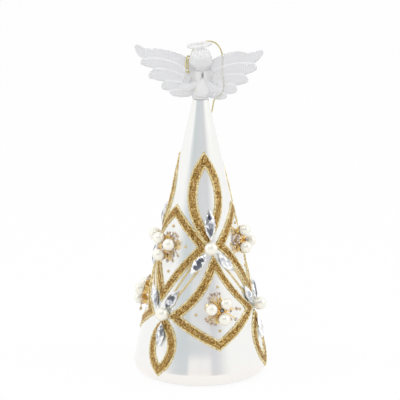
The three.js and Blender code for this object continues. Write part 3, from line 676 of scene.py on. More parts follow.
def glued_pearl(width):
    """A pearl that stands on z 0: its back is flat, with a fillet of glue round it."""
    flat_share, fillet_spread = 0.07, 1.3
    bpy.ops.mesh.primitive_uv_sphere_add(
        segments=40, ring_count=24, radius=width / 2, location=(0, 0, width / 2),
    )
    pearl = added("pearl_model")
    for corner in pearl.data.vertices:
        if corner.co.z < flat_share * width:
            corner.co.z = 0
            corner.co.xy *= fillet_spread
    bpy.ops.object.shade_smooth()
    return pearl


def nacre():
    material, start = new_material("nacre")
    cloud = grain(start, 2.2 * mm)
    principled(start, {
        "Base Color": mixed(start, cloud, (0.92, 0.89, 0.785), (0.965, 0.945, 0.86)),
        "Metallic": 0.28,
        "Roughness": 0.14 + 0.1 * cloud,
        "Coat Weight": 0.8,
        "Coat Roughness": 0.08,
        "Subsurface Weight": 0.15,
        "Subsurface Radius": (1, 0.8, 0.6),
        "Subsurface Scale": mm,
        "Normal": bump(start, grain(start, 0.35 * mm), strength=0.06, depth=0.05 * mm),
    })
    return material


pearl_skin = nacre()
pearl_model = glued_pearl(pearl_width)
first_lower_pearl = flat_spot(lower_node_height - 1.1 * mm, 2.8)
node_rows = {
    "upper": (upper_node_turns, flat_spot(upper_node_height, 0)),
    "lower": (lower_node_turns, flat_spot(lower_node_height, 0)),
}
for row, (turns, centre) in node_rows.items():
    for index, turn in enumerate(turns):
        place = first_lower_pearl if (row, index) == ("lower", 0) else centre
        seat = seat_on_dress(place, upward, pearl_lift, turn)
        pearl = placed_copy(pearl_model, f"{row}_node_pearl_{index + 1}", seat)
        hand_over(pearl, pearl_skin, "pearl", f"{row}_pearl_{index + 1}")
bpy.data.objects.remove(pearl_model)


# Three marquise stones surround each pearl, 14.4 by 6.1 mm: clear cut crystal with a silver foil
# back, glued on the bands and in the lanes between them. The one at the front is a size larger.
stone_length = 14.4 * mm
stone_width = 6.1 * mm
stone_height = 2.5 * mm
straight_reach = 13.4 * mm
straight_lift = 0.6 * mm
lane_lift = 0.3 * mm
upper_lane_reach = 7.4 * mm
lower_lane_reach = 3.4 * mm
front_stone_size = (1.2, 1.08)
front_stone_shift = Vector((0.7, -0.3)) * mm
# Painted reflection: these stones face away from the dark room, so they get a quarter of the painted dark
# reflection.
stones_with_pale_painted_reflection = ["upper_crystal_1c", *(f"lower_crystal_{place}" for place in ("1a", "1b", "2a", "2b"))]
pale_painted_reflection_share = 0.25


def marquise_stone():
    """A boat-shaped stone on z 0, cut from a disc by extruding it to girdle, crown and table."""
    share, size = 0, 0.8
    cuts = [(0.3, 1), (0.44, 1), (0.8, 0.68), (1, 0.42)]
    bpy.ops.mesh.primitive_circle_add(vertices=12, radius=1, fill_type="NGON")
    stone = added("stone_model")
    for corner in stone.data.vertices:
        along = corner.co.x
        across = math.copysign(1 - along**2, corner.co.y)
        corner.co.xy = (along * stone_length / 2, across * stone_width / 2)
    pick(stone, "FACE", lambda middle: True)
    bpy.ops.transform.resize(value=(size, size, 1))
    for next_share, next_size in cuts:
        bpy.ops.mesh.extrude_region_move()
        bpy.ops.transform.translate(value=(0, 0, (next_share - share) * stone_height))
        bpy.ops.transform.resize(value=(next_size / size, next_size / size, 1))
        share, size = next_share, next_size
    pick(stone, "FACE", lambda middle: 0.45 * stone_height < middle.z < 0.99 * stone_height)
    bpy.ops.mesh.poke(offset=0.05 * mm)
    face_outward()
    # Marks the upper facets for the painted dark reflection of the room.
    core = stone.data.attributes.new("core", "FLOAT", "POINT")
    for corner, value in zip(stone.data.vertices, core.data):
        value.value = 1 if corner.co.z > 0.7 * stone_height else 0
    return stone


def foiled_crystal():
    """Foiled facets that mirror the room, with a painted reflection on top: pale or dark by facet, darkest on
    the upper facets.
    """
    material, start = new_material("foiled_crystal")
    shade, normal = tilted_flakes(start, size=2.3 * mm, tilt=0.3)
    core = start.node("Attribute", output="Fac", attribute_name="core")
    # Painted reflection: the outer facets are painted grey to white, the upper facets slate to white.
    rim = start.node("ValToRGB", {"Fac": shade}, stops=[
        (0, (0.62, 0.65, 0.69)), (0.3, (0.92, 0.93, 0.95)), (1, (1, 1, 1)),
    ])
    middle = start.node("ValToRGB", {"Fac": shade}, stops=[
        (0, (0.045, 0.05, 0.07)), (0.56, (0.16, 0.175, 0.21)),
        (0.66, (0.82, 0.84, 0.88)), (1, (1, 1, 1)),
    ])
    principled(start, {
        "Base Color": mixed(start, core, rim, middle),
        "Metallic": 0.8,
        "Roughness": 0.08,
        "Coat Weight": 1.0,
        "Coat Roughness": 0.02,
        "Normal": normal,
    })
    return material


def lane_between(lower_turn, upper_turn):
    """The free lane from a lower diamond to the upper diamond beside it: its two ends and its way."""
    apart = (upper_turn - lower_turn + 180) % 360 - 180
    toward = math.copysign(1, apart)
    upper_side = flat_spot(upper_diamond_side, apart - toward * upper_diamond_half_turn)
    lower_side = flat_spot(lower_diamond_side, toward * lower_diamond_half_turn)
    top = (flat_spot(lower_diamond_top, 0) + upper_side) / 2
    foot = (lower_side + flat_spot(upper_diamond_foot, apart)) / 2
    return top, foot, (foot - top).normalized()


def set_stone(node, spot, direction, lift, turn, size=(1, 1)):
    seat = seat_on_dress(spot, direction, lift, turn) @ Matrix.Diagonal((*size, 1, 1))
    stone = placed_copy(stone_model, f"{node}_stone", seat)
    # Stones facing away from the dark room get a paler painted reflection.
    for value in stone.data.attributes["core"].data:
        value.value *= pale_painted_reflection_share if node in stones_with_pale_painted_reflection else 1
    hand_over(stone, crystal, "foiled_crystal", node)


crystal = foiled_crystal()
stone_model = marquise_stone()
for row, (turns, centre) in node_rows.items():
    way = upward if row == "upper" else -upward
    for index, turn in enumerate(turns):
        spot, size = centre + way * straight_reach, (1, 1)
        if (row, index) == ("upper", 0):
            spot, size = spot + front_stone_shift, front_stone_size
        set_stone(f"{row}_crystal_{index + 1}a", spot, way, straight_lift, turn, size)
lanes = []
for column, turn in enumerate(lower_diamond_turns):
    for index, other in enumerate((column, (column + 1) % 3)):
        top, foot, along = lane_between(turn, upper_diamond_turns[other])
        upper_stone = top + along * upper_lane_reach
        lower_stone = foot - along * lower_lane_reach
        set_stone(f"upper_crystal_{column + 1}{'bc'[index]}", upper_stone, along, lane_lift, turn)
        set_stone(f"lower_crystal_{other + 1}{'cb'[index]}", lower_stone, along, lane_lift, turn)
        trim = f"channel_trim_{column + 1}{'ab'[index]}"
        lanes.append((trim, upper_stone, lower_stone, along, turn, index))
bpy.data.objects.remove(stone_model)


# In every lane two thin lines of gold outliner run from stone to stone, and each diamond has four
# gold dots inside its corners. Both were piped on and keep a sparkling, slightly lumpy skin.
line_width = 1.25 * mm
line_height = 0.5 * mm
line_step = 0.4 * mm
lane_half = 2.2 * mm
dot_width = 1.7 * mm
dot_height = 0.8 * mm
dot_places = {
    "upper": (upper_diamond_turns, [(88.6, -1), (78.3, 26), (63.4, 3), (78.3, -26)]),
    "lower": (lower_diamond_turns, [(56.2, 2.8), (42, 29), (31.9, 2), (41.2, -22.5)]),
}


def piped_line(name, line, turn, seed):
    """A rounded bead of outliner along a flat line, with blunt ends and small lumps."""
    dice = random.Random(seed)
    sides = 8
    spots = []
    for index, spot in enumerate(line):
        ahead = (line[min(index + 1, len(line) - 1)] - line[max(index - 1, 0)]).normalized()
        across = Vector((-ahead.y, ahead.x))
        from_end = min(index, len(line) - 1 - index)
        swell = math.sqrt(min(1, (from_end + 0.15) / 2)) * dice.uniform(0.85, 1.1)
        for side in range(sides):
            angle = 2 * math.pi * side / sides
            aside = across * line_width / 2 * swell * math.cos(angle)
            spots.append(on_dress(spot + aside, line_height * swell * math.sin(angle), turn))
    return loft(name, spots, sides)


def gold_dot():
    """A lumpy drop of outliner, half sunk below z 0."""
    bpy.ops.mesh.primitive_ico_sphere_add(subdivisions=3, radius=1)
    dot = added("dot_model")
    dice = random.Random(4)
    for corner in dot.data.vertices:
        lump = dice.uniform(0.93, 1.05)
        corner.co.xy *= dot_width / 2 * lump
        corner.co.z *= dot_height * lump
    return dot


def joined(name, pieces):
    """Several pieces as one, at the origin."""
    select_only(*pieces)
    bpy.ops.object.join()
    pieces[0].name = name
    return pieces[0]


def gold_outliner():
    material, start = new_material("gold_outliner")
    shade, normal = tilted_flakes(start, size=0.25 * mm, tilt=1.1)
    principled(start, {
        "Base Color": mixed(start, shade, (0.55, 0.38, 0.13), (1, 0.86, 0.52)),
        "Metallic": 0.75,
        "Roughness": 0.3,
        "Normal": normal,
    })
    return material


outliner = gold_outliner()
for node, upper_stone, lower_stone, along, turn, index in lanes:
    across = Vector((-along.y, along.x)) * (1 if index else -1)
    reach = (lower_stone - upper_stone).length
    routes = [
        [(2.5 * mm, -lane_half), (reach / 2, -0.9 * lane_half), (reach - 3 * mm, -0.75 * lane_half)],
        [
            (-1.5 * mm, 2.3 * lane_half), (2.2 * mm, 1.55 * lane_half), (5 * mm, lane_half),
            (reach / 2, 0.9 * lane_half), (reach - 3 * mm, 0.8 * lane_half),
        ],
    ]
    lines = []
    for number, route in enumerate(routes):
        flat = [upper_stone + along * ahead + across * aside for ahead, aside in route]
        lines.append(piped_line(f"{node}_line_{number}", smooth_line(flat, line_step), turn, seed=number))
    hand_over(joined(f"{node}_lines", lines), outliner, "gold_outliner", node)
dot_model = gold_dot()
for row, (turns, places) in dot_places.items():
    for index, turn in enumerate(turns):
        seats = [seat_on_dress(flat_spot(height * mm, aside), upward, 0, turn) for height, aside in places]
        dots = [placed_copy(dot_model, "dot", seat) for seat in seats]
        hand_over(joined(f"{row}_gold_dots_{index + 1}", dots), outliner, "gold_outliner")
bpy.data.objects.remove(dot_model)


# A spray sits in the middle of each diamond: three pearls in gilt cups round a small stone, with
# wire twigs between them that end in tiny gilt-set beads. The back is glued to the glass.
spray_pearl_width = 6.8 * mm
spray_pearls = ((56, 4.8), (171, 5.6), (286, 5.3))
spray_pearl_rise = 1.9 * mm
hub_width = 3.6 * mm
hub_rise = 3.4 * mm
hub_gem_rise = 0.8 * mm
post_width = 0.6 * hub_width
glue_gap = 0.1 * mm
wire_width = 0.8 * mm
wire_rise = 2.3 * mm
arm_width = 1.4 * wire_width
arm_bends = ((0.4, 1.2), (1.5, 1.1), (2.8, 0.7))
bead_width = 1.8 * mm
bead_rise = 0.7 * mm
bead_cup_drop = 0.5 * mm
twig_root = 0.3 * mm
twig_reach = 10.6 * mm
twig_bend = 0.3 * mm
twig_arch = 0.8 * mm
twig_steps = 10
twigs = (
    (102, 0.98, 1), (90, 0.97, 0.7), (114, 1.02, 0.7), (127, 0.95, 0.9), (133, 0.74, 0.6), (209, 0.98, 0.9),
    (219, 0.95, 0.6), (236, 0.93, 1), (247, 0.84, 0.6), (224, 0.76, 0.5), (0, 0.98, 1), (350, 0.6, 0.7),
    (325, 1.06, 1),
)
spray_rows = {
    "upper": (
        (-51.5, upper_diamond_side - 2.2 * mm, -33, 0.82, ((55, 4.6), (164, 5), (292, 5.6))),
        (74, upper_diamond_side - 0.9 * mm, 52, 0.62, ((51, 6), (168, 5.4), (284, 5.8))),
        (194, upper_diamond_side - 1.9 * mm, -40, 1, spray_pearls),
    ),
    "lower": (
        (20.4, lower_diamond_side + 2.7 * mm, 0, 1, ((58, 4.3), (168, 5.5), (276, 5.1))),
        (135.5, lower_diamond_side + 2.6 * mm, 50, 1, spray_pearls),
        (254, lower_diamond_side + 2.6 * mm, -25, 1, spray_pearls),
    ),
}


def scalloped_cup(width, height, petals, foot_share=0.3, rim_share=0.5):
    """A gilt cup on z 0 whose thin rim rises in petals round what it holds."""
    rim, well, hollow, petal = 0.03 * width, 0.7 * height, 0.7, 0.12 * width
    bpy.ops.mesh.primitive_cone_add(
        vertices=6 * petals, radius1=foot_share * width, radius2=rim_share * width, depth=height,
        location=(0, 0, height / 2), end_fill_type="NGON",
    )
    cup = added("cup_model")
    pick(cup, "FACE", lambda middle: middle.z > 0.9 * height)
    bpy.ops.mesh.inset(thickness=rim)
    bpy.ops.mesh.extrude_region_move()
    bpy.ops.transform.translate(value=(0, 0, -well))
    bpy.ops.transform.resize(value=(hollow, hollow, 1))
    bpy.ops.object.mode_set(mode="OBJECT")
    for corner in cup.data.vertices:
        if corner.co.z > 0.9 * height:
            corner.co.z += petal * abs(math.cos(petals / 2 * math.atan2(corner.co.y, corner.co.x)))
    return cup


def round_wire(name, spots, width):
    """A round wire through spots, tapering to its end."""
    curve = bpy.data.curves.new(name, "CURVE")
    curve.dimensions = "3D"
    curve.bevel_depth = width / 2
    curve.bevel_resolution = 2
    curve.use_fill_caps = True
    spline = curve.splines.new("POLY")
    spline.points.add(len(spots) - 1)
    for index, (point, spot) in enumerate(zip(spline.points, spots)):
        point.co = (*spot, 1)
        point.radius = 1 - 0.3 * index / len(spots)
    wire = new_object(name, curve)
    select_only(wire)
    bpy.ops.object.convert(target="MESH")
    bpy.ops.object.shade_smooth()
    return wire


def cut_bead(width, length):
    """A small cut bead lying along x, a few dozen facets."""
    bpy.ops.mesh.primitive_ico_sphere_add(subdivisions=2, radius=1)
    bead = added("bead_model")
    bead.data.transform(Matrix.Diagonal((length / 2, width / 2, width / 2, 1)))
    return bead


def raised(seat, height):
    return seat @ Matrix.Translation((0, 0, height))


gilt_metal = mottled("gilt_metal", 0.8 * mm, (0.8, 0.48, 0.13), (1, 0.78, 0.36), 1, 0.16, rough=0.2)
bead_stone = mottled(
    "champagne_stone", 0.7 * mm, (0.1, 0.06, 0.08), (1, 0.9, 0.84), 0.6, 0.06, coat=1, detail=0,
)
hub_gem = mottled(
    "smoky_stone", 0.5 * mm, (0.03, 0.04, 0.07), (0.5, 0.56, 0.68), 0.7, 0.06, coat=1, detail=0,
)
spray_pearl = glued_pearl(spray_pearl_width)
pearl_cup = scalloped_cup(
    spray_pearl_width, spray_pearl_rise + 0.5 * mm, petals=7, foot_share=0.2, rim_share=0.44,
)
bead_cup = scalloped_cup(1.2 * bead_width, 0.6 * mm, petals=5)
hub_cup = scalloped_cup(0.75 * hub_width, 0.8 * mm, petals=5)
tip_bead = cut_bead(bead_width, 1.3 * bead_width)
hub_stone = cut_bead(0.5 * hub_width, 0.5 * hub_width)


def spray(name, turn, height, lean, spread, pearl_places):
    """One spray: its gilt work, its pearls and its stones."""
    centre = flat_spot(height, 0)

    def toward(degrees):
        angle = math.radians(degrees + lean)
        return Vector((math.cos(angle), math.sin(angle)))

    post = [on_dress(centre, lift, turn) for lift in (glue_gap, hub_rise / 2, hub_rise)]
    hub_seat = seat_on_dress(centre, toward(0), hub_rise, turn)
    metal = [round_wire("post", post, post_width), placed_copy(hub_cup, "hub", hub_seat)]
    gems = [placed_copy(hub_stone, "gem", raised(hub_seat, hub_gem_rise))]
    pearls, stones = [], []
    for degrees, pearl_reach in pearl_places:
        way = toward(degrees)
        seat = seat_on_dress(centre + way * pearl_reach * mm, way, glue_gap, turn)
        arm = [on_dress(centre + way * reach * mm, wire_rise * rise, turn) for reach, rise in arm_bends]
        metal.append(placed_copy(pearl_cup, "cup", seat))
        metal.append(round_wire("arm", arm, arm_width))
        pearls.append(placed_copy(spray_pearl, "pearl", raised(seat, spray_pearl_rise)))
    for number, (degrees, share, size) in enumerate(twigs):
        way = toward(degrees)
        aside = Vector((-way.y, way.x)) * (-1) ** number
        reach = twig_reach * share * spread
        spots = []
        for step in range(twig_steps + 1):
            run = twig_root + (reach - bead_width * size - twig_root) * step / twig_steps
            bend = twig_bend * math.sin(math.pi * step / twig_steps)
            lift = wire_rise + twig_arch * math.sin(math.pi * step / (twig_steps + 2))
            spots.append(on_dress(centre + way * run + aside * bend, lift, turn))
        middle = centre + way * (reach - bead_width * size / 2)
        end = seat_on_dress(middle, way, wire_rise - bead_cup_drop, turn)
        scale = Matrix.Scale(size, 4)
        metal.append(round_wire("twig", spots, wire_width * (0.5 + size / 2)))
        metal.append(placed_copy(bead_cup, "bead_cup", end @ scale))
        stones.append(placed_copy(tip_bead, "bead", raised(end, bead_rise * size) @ scale))
    hand_over(joined(f"{name}_gilt", metal), gilt_metal, "gold_outliner", name)
    hand_over(joined(f"{name}_pearls", pearls), pearl_skin, "pearl", name)
    hand_over(joined(f"{name}_stones", stones), bead_stone, "foiled_crystal", name)
    hand_over(joined(f"{name}_hub_gem", gems), hub_gem, "foiled_crystal", name)


for row, places in spray_rows.items():
    for index, place in enumerate(places):
        spray(f"{row}_pearl_spray_{index + 1}", *place)
for model in (spray_pearl, pearl_cup, bead_cup, hub_cup, tip_bead, hub_stone):
    bpy.data.objects.remove(model)


# The bust was drawn and pressed from hot clear glass over a burner: a torso on the dress's neck,
# a head with a smooth fall of hair, and arms in bell sleeves whose hands meet in front.
torso_foot_radius = 4.2 * mm
torso_bead = 0.5 * mm
shoulder_height = dress_height + 11.6 * mm
collar_height = shoulder_height + 5.2 * mm
head_height = 13.1 * mm
shoulder_half = (7.8 * mm, 4.6 * mm)
upper_shoulder_half = (7.1 * mm, 4.75 * mm)
collar_half = (6.2 * mm, 5 * mm)
head_half = (6.6 * mm, 6.2 * mm)
head_shares = [
    (-0.05, 0.86, 0.76), (0.25, 1, 0.97), (0.45, 0.98, 1), (0.68, 0.85, 0.9), (0.85, 0.63, 0.68),
    (0.96, 0.34, 0.36), (0.995, 0.1, 0.1),
]
crown_shares = (0.45, 0.65)
hand_place = Vector((1.1 * mm, -8.2 * mm, shoulder_height + 0.3 * mm))
palm_half = (0.8 * mm, 1.3 * mm, 2.7 * mm)
palm_rise = 3.1 * mm
palm_half_gap = 0.02 * mm
hand_half_gap = 1.35 * mm
sleeve_mouths = {
    "left": Vector((-11 * mm, -4.8 * mm, shoulder_height - 4.6 * mm)),
    "right": Vector((11 * mm, -4.8 * mm, shoulder_height - 6 * mm)),
}
sleeve_mouth = 3.1 * mm
sleeve_rim = 0.7 * mm
sleeve_well = 1.4 * mm
sleeve_sag = Vector((0, -0.6, -1.2)) * mm
arm_radius = 2.6 * mm
arm_step = 0.5 * mm
ring_step = 0.35 * mm


def plain_skin(start, ripple):
    """The tint and the relief of plain clear glass."""
    return (0.93, 0.93, 0.935, 1), ripple


def crackled_crown(start, ripple):
    """The top of the hair is a skin of small cells."""
    first, last = (collar_height + share * head_height for share in crown_shares)
    crown = faded(start, place_along(start, "Z"), first, last)
    spot = start.node("TexCoord", output="Object")
    cell = start.node("TexVoronoi", {"Vector": spot, "Scale": 1 / (1.2 * mm)})
    inner = start.math("GREATER_THAN", cell, 0.42)
    tint = mixed(start, crown * inner, (0.82, 0.82, 0.825), (0.97, 0.97, 0.97))
    return tint, ripple + 2 * crown * cell


def painted_shade_between_palms(start, ripple):
    """Painted shade: the glass is painted nearly black in the narrow slit between the two palms."""
    aside = start.math("ABSOLUTE", place_along(start, "X") - hand_place.x)
    level = start.math("ABSOLUTE", place_along(start, "Z") - (hand_place.z + palm_rise))
    front = start.math("LESS_THAN", place_along(start, "Y"), hand_place.y + 0.1 * mm)
    # Painted shade where the two palms meet.
    palm_gap_shade = faded(start, aside, 0.6 * mm, 0.42 * mm) * faded(start, level, 2.2 * mm, 1.7 * mm) * front
    return mixed(start, palm_gap_shade, (0.92, 0.92, 0.925), (0.03, 0.03, 0.035)), ripple


def clear_glass(name, skin=plain_skin, clarity=0.65, swell=0.22):
    """Clear glass with the faint ripples of flame work and a skin of its own."""
    material, start = new_material(name)
    ripple = grain(start, 5 * mm, detail=1)
    tint, height = skin(start, ripple)
    principled(start, {
        "Base Color": tint,
        "Roughness": 0.16 + 0.16 * ripple,
        "IOR": 1.1,
        "Transmission Weight": clarity,
        "Coat Weight": 0.5,
        "Coat Roughness": 0.05,
        "Normal": bump(start, height, strength=swell, depth=0.4 * mm),
    })
    return material


def oval_ring(centre, wide, thick, sides):
    """The spots of an oval round a centre, by its two half axes."""
    turns = [2 * math.pi * side / sides for side in range(sides)]
    return [centre + wide * math.cos(turn) + thick * math.sin(turn) for turn in turns]


def oval_body(name, rings):
    """A smooth body through level ovals, each its height, half width and half depth."""
    sides = 48
    spots = []
    for height, wide, deep in smooth_line([Vector(level) for level in rings], ring_step):
        spots += oval_ring(Vector((0, 0, height)), Vector((wide, 0, 0)), Vector((0, deep, 0)), sides)
    body = loft(name, spots, sides)
    bpy.ops.object.shade_smooth_by_angle(angle=math.radians(60))
    return body


def torso_rings():
    """A foot bead on the dress's neck, a waist, and the shoulders up to the collar."""
    rings = []
    for rise, swell in ((0, -1), (1, 1), (2.4, 1), (4, -0.5)):
        radius = torso_foot_radius + swell * torso_bead
        rings.append((dress_height + rise * torso_bead, radius, radius))
    for share, swell in ((0.35, 0.18), (0.7, 0.74), (1, 1)):
        halves = [torso_foot_radius + (half - torso_foot_radius) * swell for half in shoulder_half]
        rings.append((dress_height + share * (shoulder_height - dress_height), *halves))
    rings.append((shoulder_height + 0.6 * (collar_height - shoulder_height), *upper_shoulder_half))
    rings.append((collar_height, *collar_half))
    return rings


def head_rings():
    wide, deep = head_half
    return [
        (collar_height + share * head_height, wide * across, deep * through)
        for share, across, through in head_shares
    ]


def horn(name, stations):
    """A round body whose rings all face along one way: each its spot and radius."""
    sides = 32
    axis = (stations[0][0] - stations[-1][0]).normalized()
    wide = Vector((0, 0, 1)).cross(axis).normalized()
    thick = axis.cross(wide)
    spots = []
    for spot, radius in stations:
        spots += oval_ring(spot, radius * wide, radius * thick, sides)
    return loft(name, spots, sides)


def fused(name, pieces, grain_of_glass, rounds):
    """Pieces melted into one: joined, remeshed and smoothed."""
    whole = joined(name, pieces)
    apply_modifier(whole, "REMESH", mode="VOXEL", voxel_size=grain_of_glass, use_smooth_shade=True)
    apply_modifier(whole, "SMOOTH", factor=0.6, iterations=rounds)
    bpy.ops.object.shade_smooth()
    return whole


def sleeve(side):
    """A bell sleeve from its dished mouth to the hand, the arm that carries it, and the raised palm."""
    sign = -1 if side == "left" else 1
    mouth = sleeve_mouths[side]
    hand = hand_place + Vector((sign * hand_half_gap, 0, 0))
    reach = mouth - hand
    stations = [
        (hand + along * reach + sag * sleeve_sag, radius * mm)
        for along, sag, radius in ((0, 0, 0.7), (0.12, 0.3, 1.2), (0.5, 1, 2.2), (0.85, 0.35, 2.85))
    ]
    stations += [(mouth, sleeve_mouth), (mouth, sleeve_mouth - sleeve_rim)]
    stations.append((mouth - reach.normalized() * sleeve_well, sleeve_rim))
    bell = horn(f"{side}_bell", stations)
    shoulder = Vector((sign * (shoulder_half[0] - arm_radius / 2), 0, shoulder_height + arm_radius / 2))
    elbow = mouth.lerp(hand, 0.25) + Vector((0, 0, arm_radius / 2))
    arm_line = smooth_line([shoulder, shoulder.lerp(elbow, 0.45), elbow], arm_step)
    arm = round_wire(f"{side}_arm", arm_line, 2 * arm_radius)
    bpy.ops.mesh.primitive_uv_sphere_add(segments=20, ring_count=14, radius=1)
    palm = added(f"{side}_palm")
    palm_place = hand_place + Vector((sign * (palm_half[0] + palm_half_gap), 0, palm_rise))
    palm.data.transform(Matrix.Translation(palm_place) @ Matrix.Diagonal((*palm_half, 1)))
    return fused(f"{side}_bell_sleeve", [bell, arm, palm], grain_of_glass=0.3 * mm, rounds=3)


body_glass = clear_glass("clear_glass")
crown_glass = clear_glass("crackled_glass", crackled_crown)
hand_over(oval_body("glass_torso", torso_rings()), body_glass, "clear_glass", "torso")
hand_over(oval_body("glass_head", head_rings()), crown_glass, "clear_glass", "head")
sleeve_glass = clear_glass("sleeve_glass", painted_shade_between_palms)
for side in ("left", "right"):
    hand_over(sleeve(side), sleeve_glass, "clear_glass", f"{side}_sleeve")


# Each wing is five feathers drawn from hot glass side by side and melted into one, marked with
# fine tool ribs. The top feather curls up at its tip, and the root is fused to the shoulder.
wing_span = 36.6 * mm
wing_rise = 30.6 * mm
wing_foot = dress_height + 0.8 * mm
wing_thickness = 3 * mm
wing_set_back = 5.2 * mm
wing_sweep = 3 * mm
feather_step = 0.02
rib_gap = 1.3 * mm
groove_depth = 0.2
groove_reach = 0.45
feather_shares = {
    "left": [
        (
            ((0.1, 0.45), (0.33, 0.645), (0.63, 0.745), (0.86, 0.765), (1.01, 0.92)),
            (0.1, 0.125, 0.12, 0.115, 0.085),
        ),
        (((0.1, 0.34), (0.42, 0.55), (0.62, 0.61), (0.8, 0.615), (0.93, 0.6)), (0.1, 0.12, 0.13, 0.13, 0.1)),
        (((0.1, 0.25), (0.4, 0.355), (0.57, 0.38), (0.71, 0.375), (0.8, 0.33)), (0.1, 0.12, 0.13, 0.13, 0.1)),
        (((0.1, 0.17), (0.32, 0.175), (0.5, 0.17), (0.61, 0.14)), (0.1, 0.115, 0.125, 0.085)),
        (((0.08, 0.1), (0.25, 0.055), (0.4, 0.05), (0.48, 0.04)), (0.09, 0.1, 0.095, 0.065)),
    ],
    "right": [
        (
            ((0.1, 0.43), (0.28, 0.595), (0.53, 0.695), (0.77, 0.675), (0.965, 0.81)),
            (0.1, 0.125, 0.12, 0.115, 0.085),
        ),
        (
            ((0.1, 0.33), (0.32, 0.46), (0.56, 0.5), (0.76, 0.505), (0.87, 0.49)),
            (0.1, 0.11, 0.12, 0.135, 0.1),
        ),
        (
            ((0.1, 0.24), (0.32, 0.29), (0.5, 0.3), (0.64, 0.285), (0.735, 0.255)),
            (0.1, 0.11, 0.12, 0.125, 0.09),
        ),
        (((0.1, 0.15), (0.3, 0.135), (0.46, 0.115), (0.56, 0.07)), (0.1, 0.11, 0.12, 0.09)),
        (((0.08, 0.08), (0.22, 0.02), (0.34, -0.02), (0.4, -0.05)), (0.09, 0.1, 0.09, 0.065)),
    ],
}


def feather_line(sign, spots):
    """A feather's centre line, from its shares of the wing's span and rise."""
    line = smooth_line([Vector((sign * out, 0, up)) for out, up in spots], feather_step)
    return [
        Vector((spot.x * wing_span, wing_set_back + abs(spot.x) * wing_sweep, wing_foot + spot.z * wing_rise))
        for spot in line
    ]


def feather(name, line, halves):
    """A flat-oval blade along its centre line, rounded off over its last quarter."""
    sides = 20
    spots = []
    for index, place in enumerate(line):
        share = index / (len(line) - 1)
        low = min(int(share * (len(halves) - 1)), len(halves) - 2)
        half = halves[low] + (halves[low + 1] - halves[low]) * (share * (len(halves) - 1) - low)
        half *= math.sqrt(1 - 0.9 * max(0, 4 * (share - 1) + 1) ** 2)
        reach = half * wing_rise
        depth = wing_thickness / 2 * math.sqrt(1 - 0.6 * share**2)
        ahead = line[min(index + 1, len(line) - 1)] - line[max(index - 1, 0)]
        wide = Vector((0, -1, 0)).cross(ahead).normalized()
        for side in range(sides):
            angle = 2 * math.pi * side / sides
            across = Vector((0, depth * math.sin(angle), 0))
            spots.append(place + wide * reach * math.cos(angle) + across)
    return loft(name, spots, sides)


def part_feathers(wing, feathers):
    """Presses a furrow in both faces where two feathers meet, and marks it for the painted highlight of the
    glass.
    """
    lines = []
    for line, halves in feathers:
        tree = KDTree(len(line))
        for index, spot in enumerate(line):
            tree.insert((spot.x, 0, spot.z), index)
        tree.balance()
        lines.append((tree, len(line), halves))
    # The mark is also the share of painted highlight the glass gets along each furrow.
    marks = wing.data.attributes.new("groove", "FLOAT", "POINT")
    for corner, mark in zip(wing.data.vertices, marks.data):
        ratios = []
        for tree, count, halves in lines:
            _, index, away = tree.find((corner.co.x, 0, corner.co.z))
            half = halves[round(index / (count - 1) * (len(halves) - 1))] * wing_rise
            ratios.append(away / half)
        nearest, second = sorted(ratios)[:2]
        groove = max(0, 1 - (second - nearest) / groove_reach) ** 1.5 * within((1.15 - second) / 0.1)
        middle = wing_set_back + abs(corner.co.x) / wing_span * wing_sweep
        corner.co.y = middle + (corner.co.y - middle) * (1 - groove_depth * groove)
        mark.value = groove


def ribs_and_groove_highlights(start, ripple):
    """Fine upright ribs in the feathers, and lines painted white where they meet: a painted highlight along
    the furrows.
    """
    spot = start.node("TexCoord", output="Object")
    rib = start.node(
        "TexWave", {"Vector": spot, "Scale": 0.32 / rib_gap, "Distortion": 1.5, "Detail": 1},
        wave_type="BANDS", bands_direction="X",
    )
    # Painted highlight: the glass is painted white along the feathers' furrows.
    groove = start.node("Attribute", output="Fac", attribute_name="groove")
    tint = mixed(start, rib, (0.79, 0.79, 0.805), (0.85, 0.85, 0.86))
    return mixed(start, groove, tint, (1, 1, 1)), ripple + 0.25 * rib


wing_glass = clear_glass("ribbed_glass", ribs_and_groove_highlights, swell=0.12)
for side, sign in (("left", -1), ("right", 1)):
    feathers = [(feather_line(sign, spots), halves) for spots, halves in feather_shares[side]]
    blades = [feather(f"{side}_feather_{number}", *shape) for number, shape in enumerate(feathers)]
    wing = fused(f"{side}_glass_wing", blades, grain_of_glass=0.32 * mm, rounds=4)
    part_feathers(wing, feathers)
    hand_over(wing, wing_glass, "clear_glass", f"{side}_wing")


# The halo is a ring bent from a rod of clear glass and pressed on the crown while it was soft. It
# leans back, and its right side stands a little higher.
halo_radius = 6.25 * mm
halo_rod = 2.1 * mm
halo_sink = 0.8 * mm
halo_lean = (math.radians(-3.5), math.radians(-6.5), 0)
halo_place = Vector((-0.6 * mm, 2.6 * mm, collar_height + head_height + halo_rod / 2 - halo_sink))


def glass_halo():
    bpy.ops.mesh.primitive_torus_add(
        major_radius=halo_radius, minor_radius=halo_rod / 2, major_segments=72, minor_segments=20,
        location=halo_place, rotation=halo_lean,
    )
    halo = added("glass_halo")
    bpy.ops.object.shade_smooth()
    return halo


hand_over(glass_halo(), clear_glass("frosted_glass", clarity=0.3, swell=0.1), "clear_glass", "halo")


# The studio: a white sweep that the picture shows as plain white with a trace of shadow, broad
# soft lamps at both sides, and a darker room behind the camera that the lacquer mirrors.
white = (1, 1, 1, 1)
floor_paint = (0.95, 0.95, 0.95, 1)
floor_drop = 0.2 * mm
floor_glow = 0.93
room_light = 0.82
soft_boxes = {
    "left_soft_box": (-80, 30, 1.1, 0.6, 1.2),
    "right_soft_box": (80, 30, 1.1, 0.6, 1.4),
    "top_soft_box": (-20, 60, 1, 0.3, 1.7),
}


def ray(start, kind):
    return start.node("LightPath", output=f"Is {kind} Ray")


